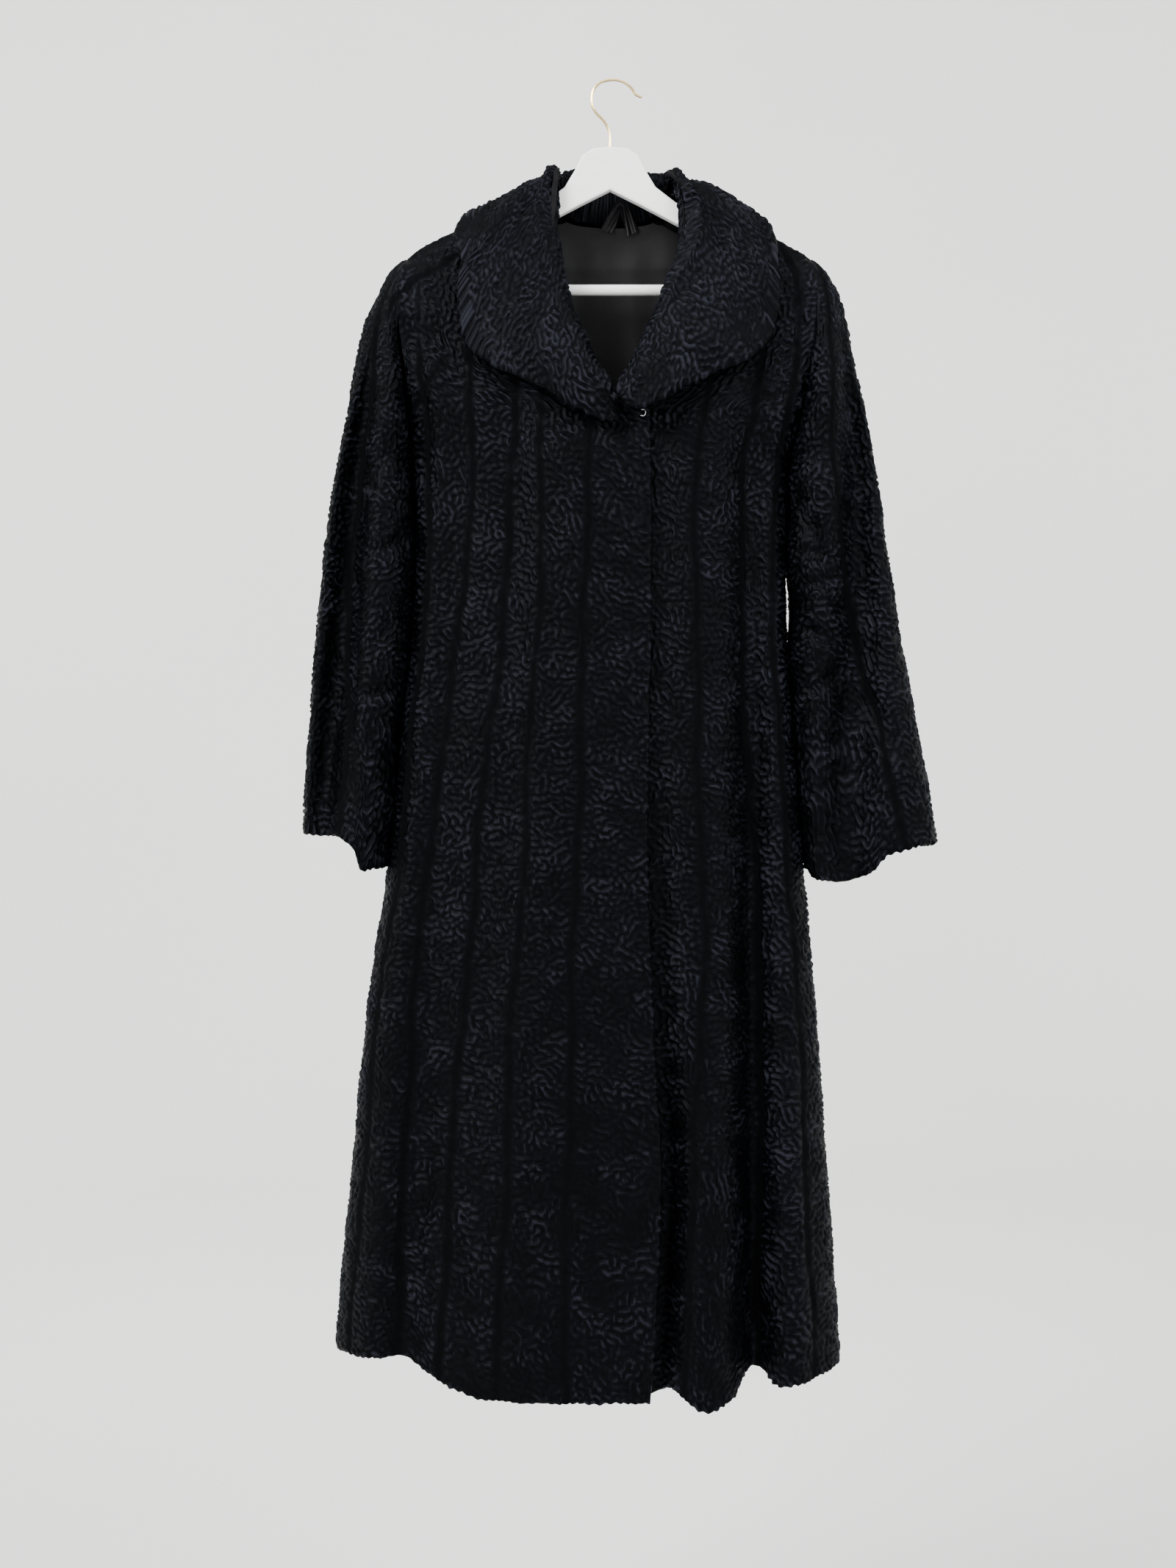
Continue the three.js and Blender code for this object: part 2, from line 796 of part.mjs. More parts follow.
// Columns of a sleeve's half: four at each band and two on each strip
function sleevePlaces(bands, reach, t) {
  const edge = BAND_WIDTH / 2;
  const lip = edge + BAND_SHOULDER;
  const places = [{ angle: 0, low: false }];
  let strip = 0;
  for (const band of bands) {
    const middle = alongThree(band.top, band.middle, band.cuff, t);
    places.push({ angle: mix(strip, middle - lip / reach, 0.5), low: false });
    [-lip, -edge, edge, lip].forEach((offset) => {
      places.push({ angle: middle + offset / reach, low: Math.abs(offset) < lip });
    });
    strip = middle + lip / reach;
  }
  places.push({ angle: mix(strip, 1, 0.5), low: false });
  places.push({ angle: 1, low: false });
  return spreadOut(places, reach);
}

function sleeveHalf(name, rows, cuff, bands, side, face) {
  const top = rows[0].drop;
  const last = rows[rows.length - 1].drop;
  const column = face < 0 ? 'front' : 'back';
  const grid = [...SLEEVE_DROPS, last].map((drop) => {
    const width = valueAt(rows, drop, 'outer') - valueAt(rows, drop, 'inner');
    const reach = width + 1.6 * valueAt(rows, drop, column);
    const t = (drop - top) / (last - top);
    return sleevePlaces(bands, reach, t).map((entry) => {
      const blend = smoothStep(last - 150, last, drop);
      const lowered = drop + (valueAt(cuff, entry.angle, column, 'place') - last) * blend;
      const point = sleevePoint(rows, side, face, lowered, entry.angle);
      return { point, low: entry.low ? BAND_DEPTH : 0 };
    });
  });
  const seams = { start: 0, end: Infinity };
  return named(name, furWall(grid, WALL, side * face, seams), furLook());
}

// True inside the body's surface
function insideBody(point) {
  const drop = -point.z;
  const face = point.y < 0 ? -1 : 1;
  const reach = valueAt(BODY, drop, point.x < 0 ? 'right' : 'left');
  if (drop < NECK_DROP || Math.abs(point.x) > reach) {
    return false;
  }
  return face * point.y < face * bodyPoint(face, drop, angleOfX(drop, point.x)).y;
}

// Moves a point of the collar's fall off the body, along the way the fall faces
function offBody(point, facing) {
  const clear = COLLAR_WALL + COLLAR_CLEAR;
  const face = point.y < 0 ? -1 : 1;
  const probes = [
    facing.clone().multiplyScalar(-clear),
    new THREE.Vector3(0, -face * clear, 0),
    new THREE.Vector3(0, 0, -clear),
  ];
  const moved = point.clone();
  const close = () => probes.some((probe) => insideBody(moved.clone().add(probe)));
  for (let i = 0; i < OFF_BODY_STEPS && close(); i += 1) {
    moved.addScaledVector(facing, OFF_BODY_STEP);
  }
  return moved;
}

// Section of the collar: up the stand, over the roll and down the fall
function collarSection(row) {
  const base = new THREE.Vector3(row.baseX, row.baseY, -row.baseDrop);
  const roll = new THREE.Vector3(row.rollX, row.rollY, -row.rollDrop);
  const edge = new THREE.Vector3(row.edgeX, row.edgeY, -row.edgeDrop);
  const outward = edge.clone().sub(base).setZ(0).normalize();
  const rolled = (angle) => roll.clone()
    .addScaledVector(outward, -ROLL_RADIUS * Math.cos(angle))
    .setZ(roll.z - ROLL_RADIUS * (1 - Math.sin(angle)));
  const standTop = rolled(0);
  const fallTop = rolled(Math.PI);
  const fall = edge.clone().sub(fallTop);
  const flatLength = Math.hypot(fall.x, fall.y);
  const facing = outward.clone().multiplyScalar(Math.abs(fall.z)).setZ(flatLength).normalize();
  const points = [base, base.clone().lerp(standTop, 0.5)];
  for (let i = 0; i <= ROLL_STEPS; i += 1) {
    const point = rolled((Math.PI * i) / ROLL_STEPS);
    points.push(i < ROLL_STEPS - 1 ? point : offBody(point, facing));
  }
  for (let i = 1; i <= FALL_STEPS; i += 1) {
    const t = i / FALL_STEPS;
    const raised = row.swell * 4 * t * (1 - t);
    const point = fallTop.clone().lerp(edge, t).addScaledVector(facing, raised);
    points.push(offBody(point, facing));
  }
  return points;
}

function collar() {
  const sections = COLLAR.map(collarSection);
  const grid = sections[0].map((first, i) => sections.map(
    (section) => ({ point: section[i], low: 0 }),
  ));
  return named('collar', furWall(grid, COLLAR_WALL, 1, {}), furLook());
}

// Lining inside the back, as far as it shows through the neck
function backLining() {
  const grid = [];
  for (let i = 0; i <= LINING_ROWS; i += 1) {
    const row = [];
    for (let j = 0; j <= LINING_COLUMNS; j += 1) {
      const across = (2 * j) / LINING_COLUMNS - 1;
      const x = across * mix(LINING_TOP_HALF, LINING_HALF, smoothStep(0, 0.4, i / LINING_ROWS));
      const neck = Math.max(valueAt(BACK_NECK, x, 'neck', 'x'), LINING_TOP_DROP);
      const top = neck + LINING_CLEAR;
      const drop = mix(top, LINING_DROP, (i / LINING_ROWS) ** 1.4);
      const point = bodyPoint(1, drop, angleOfX(drop, x));
      point.y -= WALL + LINING_CLEAR;
      row.push({ point, low: 0 });
    }
    grid.push(row);
  }
  return named('back_lining', furWall(grid, LINING_WALL, 1, {}), material(0x2b2a2c, 0.35, 0));
}

// Extrudes an outline of named points along Y, its middle at the given place
function extrudedOutline(rows, thickness, bevel, middleY) {
  const shape = new THREE.Shape(rows.map((row) => new THREE.Vector2(row.x, -row.drop)));
  const depth = thickness - 2 * bevel;
  const geometry = new THREE.ExtrudeGeometry(shape, {
    depth,
    bevelEnabled: bevel > 0,
    bevelThickness: bevel,
    bevelSize: bevel,
    bevelOffset: -bevel,
    bevelSegments: 2,
  });
  geometry.rotateX(Math.PI / 2);
  geometry.translate(0, middleY + depth / 2, 0);
  return geometry;
}

function hangerWood() {
  const rightSide = [...WOOD_UPPER, ...WOOD_LOWER];
  const leftSide = rightSide.slice(1, -1).map((row) => ({ x: -row.x, drop: row.drop }));
  const outline = [...rightSide, ...leftSide.reverse()];
  const geometry = extrudedOutline(outline, WOOD_THICK, WOOD_ROUND, 0);
  return named('hanger_wood', geometry, material(0xf2f0ec, 0.35, 0));
}

function hangerBar() {
  const geometry = new THREE.CylinderGeometry(BAR_RADIUS, BAR_RADIUS, 2 * BAR_HALF, 24);
  geometry.rotateZ(Math.PI / 2);
  geometry.translate(0, 0, -BAR_DROP);
  return named('hanger_bar', geometry, material(0xf2f0ec, 0.35, 0));
}

function hangerHook() {
  const points = HOOK_PATH.map((row) => new THREE.Vector3(row.x, 0, -row.drop));
  const path = new THREE.CatmullRomCurve3(points);
  const circle = new THREE.Shape();
  circle.absarc(0, 0, WIRE_RADIUS, 0, 2 * Math.PI);
  const geometry = new THREE.ExtrudeGeometry(circle, {
    steps: 34,
    curveSegments: 4,
    bevelEnabled: false,
    extrudePath: path,
  });
  return named('hanger_hook', geometry, material(0xc9a45c, 0.3, 1));
}

// Folded ribbon sewn to the top of the lining
function hangingLoop() {
  const geometry = extrudedOutline(RIBBON_OUTLINE, RIBBON_WALL, 0, RIBBON_Y);
  return named('hanging_loop', geometry, material(0x2a292b, 0.4, 0));
}

const coat = [
  frontRight(),
  frontLeft(),
  back(),
  sleeveHalf('sleeve_right_front', RIGHT_SLEEVE, RIGHT_CUFF, RIGHT_SLEEVE_BANDS, -1, -1),
  sleeveHalf('sleeve_right_back', RIGHT_SLEEVE, RIGHT_CUFF, SLEEVE_BACK_BANDS, -1, 1),
  sleeveHalf('sleeve_left_front', LEFT_SLEEVE, LEFT_CUFF, LEFT_SLEEVE_BANDS, 1, -1),
  sleeveHalf('sleeve_left_back', LEFT_SLEEVE, LEFT_CUFF, SLEEVE_BACK_BANDS, 1, 1),
  collar(),
  backLining(),
  hangingLoop(),
];

const hanger = [hangerWood(), hangerBar(), hangerHook()];

export default new THREE.Group().add(...coat, ...hanger);
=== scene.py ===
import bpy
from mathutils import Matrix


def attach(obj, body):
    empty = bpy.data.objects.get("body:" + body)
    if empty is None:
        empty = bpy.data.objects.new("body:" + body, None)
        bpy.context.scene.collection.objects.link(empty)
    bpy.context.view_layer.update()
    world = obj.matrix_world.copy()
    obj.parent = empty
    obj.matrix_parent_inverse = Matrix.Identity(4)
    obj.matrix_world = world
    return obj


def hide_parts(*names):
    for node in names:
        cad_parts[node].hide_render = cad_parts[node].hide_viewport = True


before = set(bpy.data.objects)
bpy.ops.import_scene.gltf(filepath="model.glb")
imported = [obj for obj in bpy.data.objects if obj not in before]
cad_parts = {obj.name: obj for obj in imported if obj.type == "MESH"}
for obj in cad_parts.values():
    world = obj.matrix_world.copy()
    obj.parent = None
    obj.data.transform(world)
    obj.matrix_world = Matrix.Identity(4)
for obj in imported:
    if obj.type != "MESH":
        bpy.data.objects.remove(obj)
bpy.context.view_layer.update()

# Long fur coat on a flat wooden hanger. The forms are worked out in millimetres, +Z up, with the
# front facing -Y, as in the part's source, and each piece is turned into metres when it is made.
# Heights are drops below the origin. Right and left are the wearer's: the right lies towards -X.
import math

import bpy
import numpy as np
from mathutils import Vector

METRE = 1000.0

# Walls, and how far the sleeves' inner edges are tucked in
WALL, COLLAR_WALL = 5.0, 7.0
SLEEVE_TUCK, CUFF_TUCK = 1.2, 3.2
CUFF_TUCK_DROPS = (680, 760)

# Body and sleeves: where forms begin and end, how full they are, and how they run into each other
NECK_DROP, BACK_NECK_BLEND_DROP = 109, 215
HEM_BLEND_DROP, SIDE_HEM_DROP = 1100, 1315
HANG_TOP_DROP, HANG_HEM_DROP = 300, 1320
FOLD_OPENING = (250, 420)
FOLD_FADE, VALLEY_FADE = 1.6, 1.5
BODY_FLATNESS, SLEEVE_FLATNESS, FLUSH_FLATNESS = 0.7, 0.8, 2.2
FLUSH_START, FLUSH_END = (184, 196), (215, 330)
FLUSH_PLACES = (0.3, 0.6)
CLOSURE = (275, 308)
UNDERLAP_HOLD, UNDERLAP_RAMP = 7, 16
VALLEY_WIDTH = 0.13
CREASE_CORE, CREASE_FALL = 0.3, 3
BACK_VALLEY_AT, BACK_VALLEY_SHARE = 0.5, 0.3
CUFF_BLEND = 150

# Collar, and the edges that roll under
ROLL_RADIUS, ROLL_STEPS, FALL_STEPS = 8.5, 4, 5
COLLAR_CLEAR = 4.4
OFF_BODY_STEP, OFF_BODY_TRIES = 0.5, 100
FREE_ROLL, COLLAR_ROLL, SEAM_ROLL = WALL / 2, COLLAR_WALL / 2, 0.5
EDGE_TURNS, EDGE_TUCK = 4, 3

# Lining, ribbon, hook and eye. The folds are depth, width and lean, and depth, turns and wave
LINING_CLEAR, LINING_SINK = 2.5, 1.2
LINING_TOP_HALF, LINING_HALF = 46, 140
LINING_TOP_DROP, LINING_DROP = 131, 400
LINING_WIDENING, LINING_CLOSENESS = (0, 0.4), 1.4
LINING_FOLDS = ((1.0, 15, 1.4), (0.6, 6.3, -2))
LINING_FOLD_START = (0.02, 0.3)
RIBBON_HALF, RIBBON_GATHER = 7.0, 0.5
RIBBON_FOLDS = (1.1, 5.2, 9)
WIRE_STEPS, WIRE_SIDES = 60, 8

# The fur's ridges: distance from one to the next, how deep the valleys lie under them, how far
# they rise over the solid's surface, and how evenly they run
CURL_PITCH, CURL_DEPTH, FUR_LIFT = 6.8, 3.8, 1.4
FIELD_CELL, FIELD_STEP = 1.25, 16
RING_WIDTH = 0.55
CURL_WAYS, WAY_SHARPNESS = 4, 4
CURL_CHAOS, CURL_GAIN, CURL_ROUNDS = 0.75, 1.3, 2
CREST_SHARPNESS = 2.1

# The plain bands between the strips of fur
BAND_DEPTH, BAND_SLOPE = 3.0, 4.2
BAND_TOP_WIDTH, BAND_HEM_WIDTH = 2.4, 4.2
BAND_WIDENING = (200, 1300)
BAND_WANDER, BAND_STRAY = 2.2, 1.8
BAND_TOP_DROP, BAND_START, BAND_OPENING = 262, 16, 8.8
MOST_STRIPS = 16
FAR = 1e4

# Seams close up, and outlines and lower edges ripple
SEAM_FADE = 6
RIPPLE, RIPPLE_SHIFT = 1.7, 1.7
HEM_RIPPLE, COLLAR_RIPPLE, SLEEVE_RIPPLE = 14, 16, (6, 30)
SLEEVE_END = (800, 830)

SPREAD = 1.0
FRONT_SPACING, BACK_SPACING, COLLAR_SPACING = 2.02, 2.9, 2.1
COLLAR_EDGE_SHARE = 1.25
SLEEVE_ROUND = 240
ACROSS_SAMPLES, INSET_SHARE = 181, 0.3
INNER_STEPS, INNER_LEAST = (8, 2), 4
COLLAR_INNER_GRID = (40, 160)
LINING_GRID, RIBBON_GRID = (90, 110), (90, 24)

# Soft fields over the fur: how wide their swells are and how much they weigh. The first two turn
# the ridges, in degrees, and the rest change their height, which starts from a base
WANDER = (17, 80)
SWIRL_SCALE, PANEL_SWIRL, COLLAR_SWIRL = 90, 30, 60
PATCHES = (19, 0.26)
TUFTS = (4.2, 0.14)
SWELLS = (33, 0.12)
STRIP_SPREAD = 0.1
FUR_BASE, FUR_CREST = 0.1, 0.88
UNEVEN_CELL, UNEVEN_SCALE = 2.0, 9


def table(columns, text):
    """Named columns of numbers, from rows that a semicolon or the end of a line parts."""
    rows = [row.split() for row in text.replace(";", "\n").splitlines() if row.strip()]
    values = np.array(rows, float)
    return {name: values[:, i] for i, name in enumerate(columns.split())}


STRIP_COLUMNS = "top middle hem"

# The body from neck to hem: its reach to each side, its armhole edge, its depth front and back
BODY = table("drop right left armhole front back", """
109 64 66 0 10 16
124 98 104 0 17 32
141 132 138 0 22 42
158 166 163 0 26 46
171 192 185 0 29 47
183 208 205 1 31 47
191 212 209 16 32 48
201 214 211 25 34 49
222 216 212 32 38 51
252 216 210 37 45 54
300 212 205 36 54 57
345 208 197 22 60 59
372 205 190 10 63 60
395 204 185 0 65 61
478 201 181 0 67 63
584 206 183 0 70 66
691 218 190 0 73 70
815 230 200 0 77 75
942 249 211 0 84 82
1124 267 224 0 93 92
1299 283 236 0 101 101
""")

# How far the neckline and the front edge lie from the middle, on each front
NECKLINE = table("drop right left", """
109 -63 65; 115 -74 80; 130 -75 86; 178 -75 88; 206 -73 85; 234 -66 76; 260 -58 66
290 -44 52; 316 -28 36; 330 -6 20; 341 30 2; 352 40 -8; 480 42 -8; 795 38 -10; 1000 45 -8
1116 51 -6; 1230 46 -6; 1340 37 -6
""")

# How deep the left front lies under the edge of the right front
UNDERLAP = table("drop depth", "300 7.4; 500 8.4; 800 12; 1000 18; 1200 27; 1340 35")

# Where the back's neckline lies, from the right shoulder to the left
BACK_NECK = table("x neck", """
-64 109; -58 126; -48 134; -30 139; 0 141; 32 139; 50 134; 60 126; 66 109
""")

# The plain bands between the strips of fur, as degrees round the body from the middle
FRONT_BANDS = table(STRIP_COLUMNS, """
-66 -70 -69; -42 -52 -48; -27 -34 -35; -18 -20 -20; -4 -5 -5; 30 30 22; 49 49 42; 68 66 62
""")

BACK_BANDS = table(STRIP_COLUMNS, """
-64 -66 -68; -44 -46 -50; -29 -30 -32; -10 -10 -11; 10 10 11; 29 30 32; 44 46 50; 64 66 68
""")

# Hanging folds: where each lies across the body, how wide it is and how far it sinks in
FOLD_COLUMNS = "top_x hem_x width top middle hem"

FRONT_FOLDS = table(FOLD_COLUMNS, """
143 144 17 10 24 36
96 98 26 -2 -5 -11
-98 -165 26 9 6 5
-143 -207 24 6 10 18
-50 -80 44 -2 -3 -6
-175 -243 20 -3 -6 -8
172 190 18 -2 -5 -9
""")

BACK_FOLDS = table(FOLD_COLUMNS, """
-62 -84 22 2 9 20
52 66 22 2 10 21
-128 -178 22 3 11 22
116 150 20 3 11 22
-4 -8 30 -1 -4 -9
""")

# The lower edge of the fronts and of the back, from the right side to the left
FRONT_HEM = table("x hem", """
-283 1303; -215 1302; -170 1324; -130 1337; 38 1340; 58 1330; 92 1348; 122 1340; 145 1315
168 1330; 200 1326; 236 1318
""")

BACK_HEM = table("x hem", "-283 1303; -200 1318; -90 1334; 0 1340; 90 1337; 180 1328; 236 1318")

# The sleeves from shoulder to cuff: inner and outer reach, swell in front and behind, and
# where the long valley of the front lies (0 inner edge, 1 outer edge) and how deep it is
SLEEVE_COLUMNS = "drop inner outer front back valley_at valley"

RIGHT_SLEEVE = table(SLEEVE_COLUMNS, """
186 209 216 3 3 0.6 0
191 211 222 4 4 0.6 0
201 214 231 7 7 0.6 0
222 216 241 12 13 0.55 0
252 216 255 20 21 0.52 4
300 212 265 33 31 0.55 14
345 208 272 46 42 0.6 27
395 204 282 54 49 0.63 33
478 201 294 58 54 0.645 37
584 206 304 60 58 0.645 37
691 217 312 60 60 0.65 33
776 229.6 318 60 62 0.65 28
""")

LEFT_SLEEVE = table(SLEEVE_COLUMNS, """
186 206 212 3 3 0.6 0
191 208 218 4 4 0.6 0
201 211 226 7 7 0.6 0
222 212 237 12 13 0.62 0
252 210 245 20 21 0.64 4
300 205 254 33 31 0.66 14
345 197 264 46 42 0.66 25
395 185 273 54 49 0.66 31
478 182 285 58 54 0.61 36
545 186 295 59 56 0.57 36
600 184 304 60 58 0.53 36
691 190 321 60 60 0.46 33
786 199 338 58 62 0.4 28
""")

# The cuff's lower edge round each half, from the inner edge (0) to the outer edge (1)
RIGHT_CUFF = table("place front back", """
0 808 808; 0.2 812 812; 0.34 814 812; 0.42 792 790; 0.55 780 778; 1 776 776
""")

LEFT_CUFF = table("place front back", """
0 800 800; 0.2 824 814; 0.34 826 820; 0.46 820 816; 0.57 798 800; 0.77 789 791; 1 786 786
""")

# Bands along a sleeve, as places from the inner to the outer edge
RIGHT_SLEEVE_BANDS = table(STRIP_COLUMNS, "0.5 0.63 0.54")
LEFT_SLEEVE_BANDS = table(STRIP_COLUMNS, "0.4 0.52 0.64")
SLEEVE_BACK_BANDS = table(STRIP_COLUMNS, "0.3 0.34 0.32; 0.68 0.7 0.7")

# The collar from its front end on the right, round the neck, to its end on the left: where its
# stand is sewn on, where it turns over, where it ends, and how far it swells between
COLLAR = table("base_x base_y base_drop roll_x roll_y roll_drop edge_x edge_y edge_drop swell", """
-2 -62 337 1 -72 323 10 -80 362 1
-13 -60 327 -6 -71 311 -10 -80 361 3
-25 -58 312 -16 -69 297 -37 -79 349 5
-38 -51 284 -31 -62 265 -68 -76 330 7
-50 -40 256 -44 -54 236 -95 -72 317 8
-58 -33 224 -52 -45 204 -122 -68 305 9
-62 -26 190 -57 -36 173 -147 -60 284 9
-61 -19 161 -61 -27 148 -154 -56 250 9
-60 -14 132 -60 -20 125 -156 -50 220 9
-58 -9 103 -60 -12 94 -153 -38 194 10
-57 -2 98 -60 -3 88 -148 -22 176 10
-57 6 96 -60 7 84 -139 -8 160 9
-50 23 120 -56 29 88 -136 22 156 9
-40 33 132 -42 44 79 -126 56 172 10
-24 38 136 -22 50 76 -78 72 190 8
0 40 138 0 52 75 0 77 197 7
24 38 136 22 50 76 82 72 190 8
42 33 132 40 44 81 136 56 174 10
52 23 121 57 30 86 150 22 158 10
61 6 99 67 8 87 157 -8 160 14
63 -2 101 69 -3 91 163 -22 178 13
66 -9 108 73 -14 101 172 -38 194 11
70 -17 144 78 -22 138 173 -52 226 10
72 -22 178 77 -28 166 170 -58 254 10
70 -28 206 70 -37 192 160 -64 280 10
64 -33 234 61 -45 214 142 -70 298 10
56 -41 260 51 -54 240 108 -76 313 9
43 -48 290 36 -62 270 74 -84 329 7
30 -56 316 22 -72 298 44 -92 346 5
20 -62 332 12 -80 314 28 -96 352 3
12 -68 342 5 -86 326 15 -98 347 1
""")

# Which way the ridges of each strip run, in degrees down from level, from neck to hem
FRONT_RIGHT_LEANS = table(STRIP_COLUMNS, """
10 -10 -6; -50 12 8; 40 -14 -12; 70 20 4; 60 -6 10; 50 8 -8
""")
FRONT_LEFT_LEANS = table(STRIP_COLUMNS, "82 24 14; -40 -16 -60; 20 14 10; 0 -8 6")
BACK_LEANS = table(STRIP_COLUMNS, """
8 -8 6; -40 12 -10; 30 -14 8; -66 10 -6; 0 -4 4; 66 -12 6; -28 16 -8; 36 -10 12; -6 8 -6
""")
SLEEVE_LEANS = table(STRIP_COLUMNS, "30 -12 8; 60 20 -10; -20 6 12")
COLLAR_LEANS = table(STRIP_COLUMNS, "88 84 70")

# Plain bands that cross the strips, as points across the front and down it
SHOULDER_BAND = table("x drop", "-158 184; -201 212; -222 234; -226 248")
UNDER_COLLAR_BAND = table("x drop", "-170 297; -188 320; -200 342")
COLLAR_SIDE_BAND = table("x drop", "176 172; 190 205; 192 236")

# Soft creases: a trough (or a ridge, where the depth is below 0) from one place to another
CREASES = table("face from_x from_drop to_x to_drop width depth", """
-1 -208 262 -196 340 11 5
-1 -196 340 -190 420 12 4
-1 -176 262 -150 330 16 4
-1 196 250 176 330 12 4
-1 186 431 237 550 11 6
-1 192 491 224 498 7 5
-1 190 528 232 517 7 4.5
-1 194 569 228 580 7 4.5
-1 198 632 232 617 8 4
-1 203 692 236 684 8 3.5
-1 262 640 292 700 10 3
-1 286 690 322 740 13 -2.5
-1 -250 428 -226 392 8 4.5
-1 -232 492 -206 476 8 4
-1 -252 637 -218 633 6 4
-1 -255 439 -267 662 9 4.5
-1 -267 650 -264 770 9 4.5
-1 -290 560 -300 640 12 -2
-1 -222 560 -236 590 9 3
-1 -60 420 -52 640 18 1.8
-1 62 470 74 720 14 2
-1 -94 430 -100 780 14 5
-1 -118 760 -128 1000 18 3
-1 0 700 8 1000 22 -1.6
1 -180 240 -150 360 18 3
1 176 236 148 350 18 3
1 -40 330 -30 620 22 2
1 90 420 100 760 20 2
1 -250 560 -296 620 13 3
1 238 540 296 600 13 3.5
1 226 650 272 690 13 3
""")

# The ribbon's middle line, and the wires of the hook and the eye, as points of x, y and z
RIBBON_PATH = (
    (-3, 31.6, -147), (1, 31.8, -138), (5, 32.2, -128), (8.5, 32.8, -120), (11, 33, -118),
    (13.5, 32.8, -120), (17, 32.2, -128), (21, 31.8, -139), (25, 31.6, -149),
)
FASTENER_HOOK = (
    (19, -66.5, -345), (22, -67.5, -342.5), (26, -68.1, -342), (29, -67.7, -343.5),
    (27.5, -67.1, -345.5), (24, -66.5, -346),
)
FASTENER_EYE = (
    (31, -66.5, -350), (34, -67.5, -350.5), (35, -67.8, -353.5), (33, -67.5, -356.5),
    (30.5, -66.5, -356),
)


def value_at(rows, at, column, key="drop"):
    """Value of a named column at each place of its key, carried smoothly from row to row."""
    keys, values = rows[key], rows[column]
    at = np.clip(at, keys[0], keys[-1])
    secant = np.diff(values) / np.diff(keys)
    before, after = secant[:-1], secant[1:]
    same_way = before * after > 0
    between = np.where(same_way, 2 * before * after / np.where(same_way, before + after, 1), 0)
    slope = np.concatenate([secant[:1], between, secant[-1:]])
    i = np.clip(np.searchsorted(keys, at) - 1, 0, len(keys) - 2)
    span = keys[i + 1] - keys[i]
    t = (at - keys[i]) / span
    return curve(values[i], values[i + 1], slope[i], slope[i + 1], t, span)


def curve(before, after, slope_before, slope_after, t, span):
    """A smooth curve between two values with a slope at each, at a share t of their span."""
    return (
        (2 * t**3 - 3 * t**2 + 1) * before
        + (t**3 - 2 * t**2 + t) * slope_before * span
        + (3 * t**2 - 2 * t**3) * after
        + (t**3 - t**2) * slope_after * span
    )


def share_between(low, high, value):
    return np.clip((value - low) / (high - low), 0, 1)


def smooth_step(low, high, value):
    t = share_between(low, high, value)
    return t * t * (3 - 2 * t)


def mix(a, b, t):
    return a + (b - a) * t


def along_three(row, i, t):
    """A value given at the top, the middle and the hem, followed down the coat."""
    upper = mix(row["top"][i], row["middle"][i], smooth_step(0, 0.5, t))
    lower = mix(row["middle"][i], row["hem"][i], smooth_step(0.5, 1, t))
    return np.where(t < 0.5, upper, lower)


def hang_share(drop):
    return share_between(HANG_TOP_DROP, HANG_HEM_DROP, drop)


def fold_depth(folds, x, drop):
    t = hang_share(drop)
    opening = smooth_step(*FOLD_OPENING, drop)
    depth = 0
    for i, width in enumerate(folds["width"]):
        offset = (x - mix(folds["top_x"][i], folds["hem_x"][i], t)) / width
        depth = depth + along_three(folds, i, t) * opening * np.exp(-offset * offset)
    return depth


def joined(*parts):
    return np.stack(np.broadcast_arrays(*parts), axis=-1).astype(float)


def flush_share(face, drop):
    """Share by which body and sleeve run flush into each other in front, below the shoulder."""
    if face > 0:
        return 0
    return smooth_step(*FLUSH_START, drop) * (1 - smooth_step(*FLUSH_END, drop))


def side_name(face):
    return "front" if face < 0 else "back"


def body_span(drop):
    """The body's middle and its half width."""
    right, left = value_at(BODY, drop, "right"), value_at(BODY, drop, "left")
    return (left - right) / 2, (left + right) / 2


def body_point(face, drop, angle):
    """Points of the body's surface; face is -1 in front and 1 behind."""
    middle, half = body_span(drop)
    armhole = value_at(BODY, drop, "armhole")
    depth = value_at(BODY, drop, side_name(face))
    x = middle + half * np.sin(angle)
    flatness = mix(BODY_FLATNESS, FLUSH_FLATNESS, flush_share(face, drop))
    fullness = np.maximum(np.cos(angle), 0) ** flatness
    folds = FRONT_FOLDS if face < 0 else BACK_FOLDS
    sink = fold_depth(folds, x, drop) * np.minimum(1, FOLD_FADE * fullness)
    y = face * (armhole + (depth - armhole) * fullness - sink)
    return joined(x, y, -drop + 0 * x)


def angle_of_x(drop, x):
    middle, half = body_span(drop)
    return np.arcsin(np.clip((x - middle) / half, -1, 1))


def with_hem(hem, drop, x):
    """Lowers the last part of a panel to the hem's own line."""
    blend = smooth_step(HEM_BLEND_DROP, SIDE_HEM_DROP, drop)
    return drop + (value_at(hem, x, "hem", "x") - SIDE_HEM_DROP) * blend


def front_right_surface(drop, angle):
    x = body_point(-1, drop, angle)[..., 0]
    return body_point(-1, with_hem(FRONT_HEM, drop, x), angle)


def front_left_surface(drop, angle):
    """The left front goes under the right one and comes forward again beyond its edge."""
    points = front_right_surface(drop, angle)
    held = value_at(NECKLINE, drop, "right") + UNDERLAP_HOLD
    beyond = np.maximum(points[..., 0] - held, 0) / UNDERLAP_RAMP
    closing = smooth_step(*CLOSURE, drop)
    depth = value_at(UNDERLAP, drop, "depth") * closing
    points[..., 1] += depth * np.exp(-beyond * beyond)
    return points


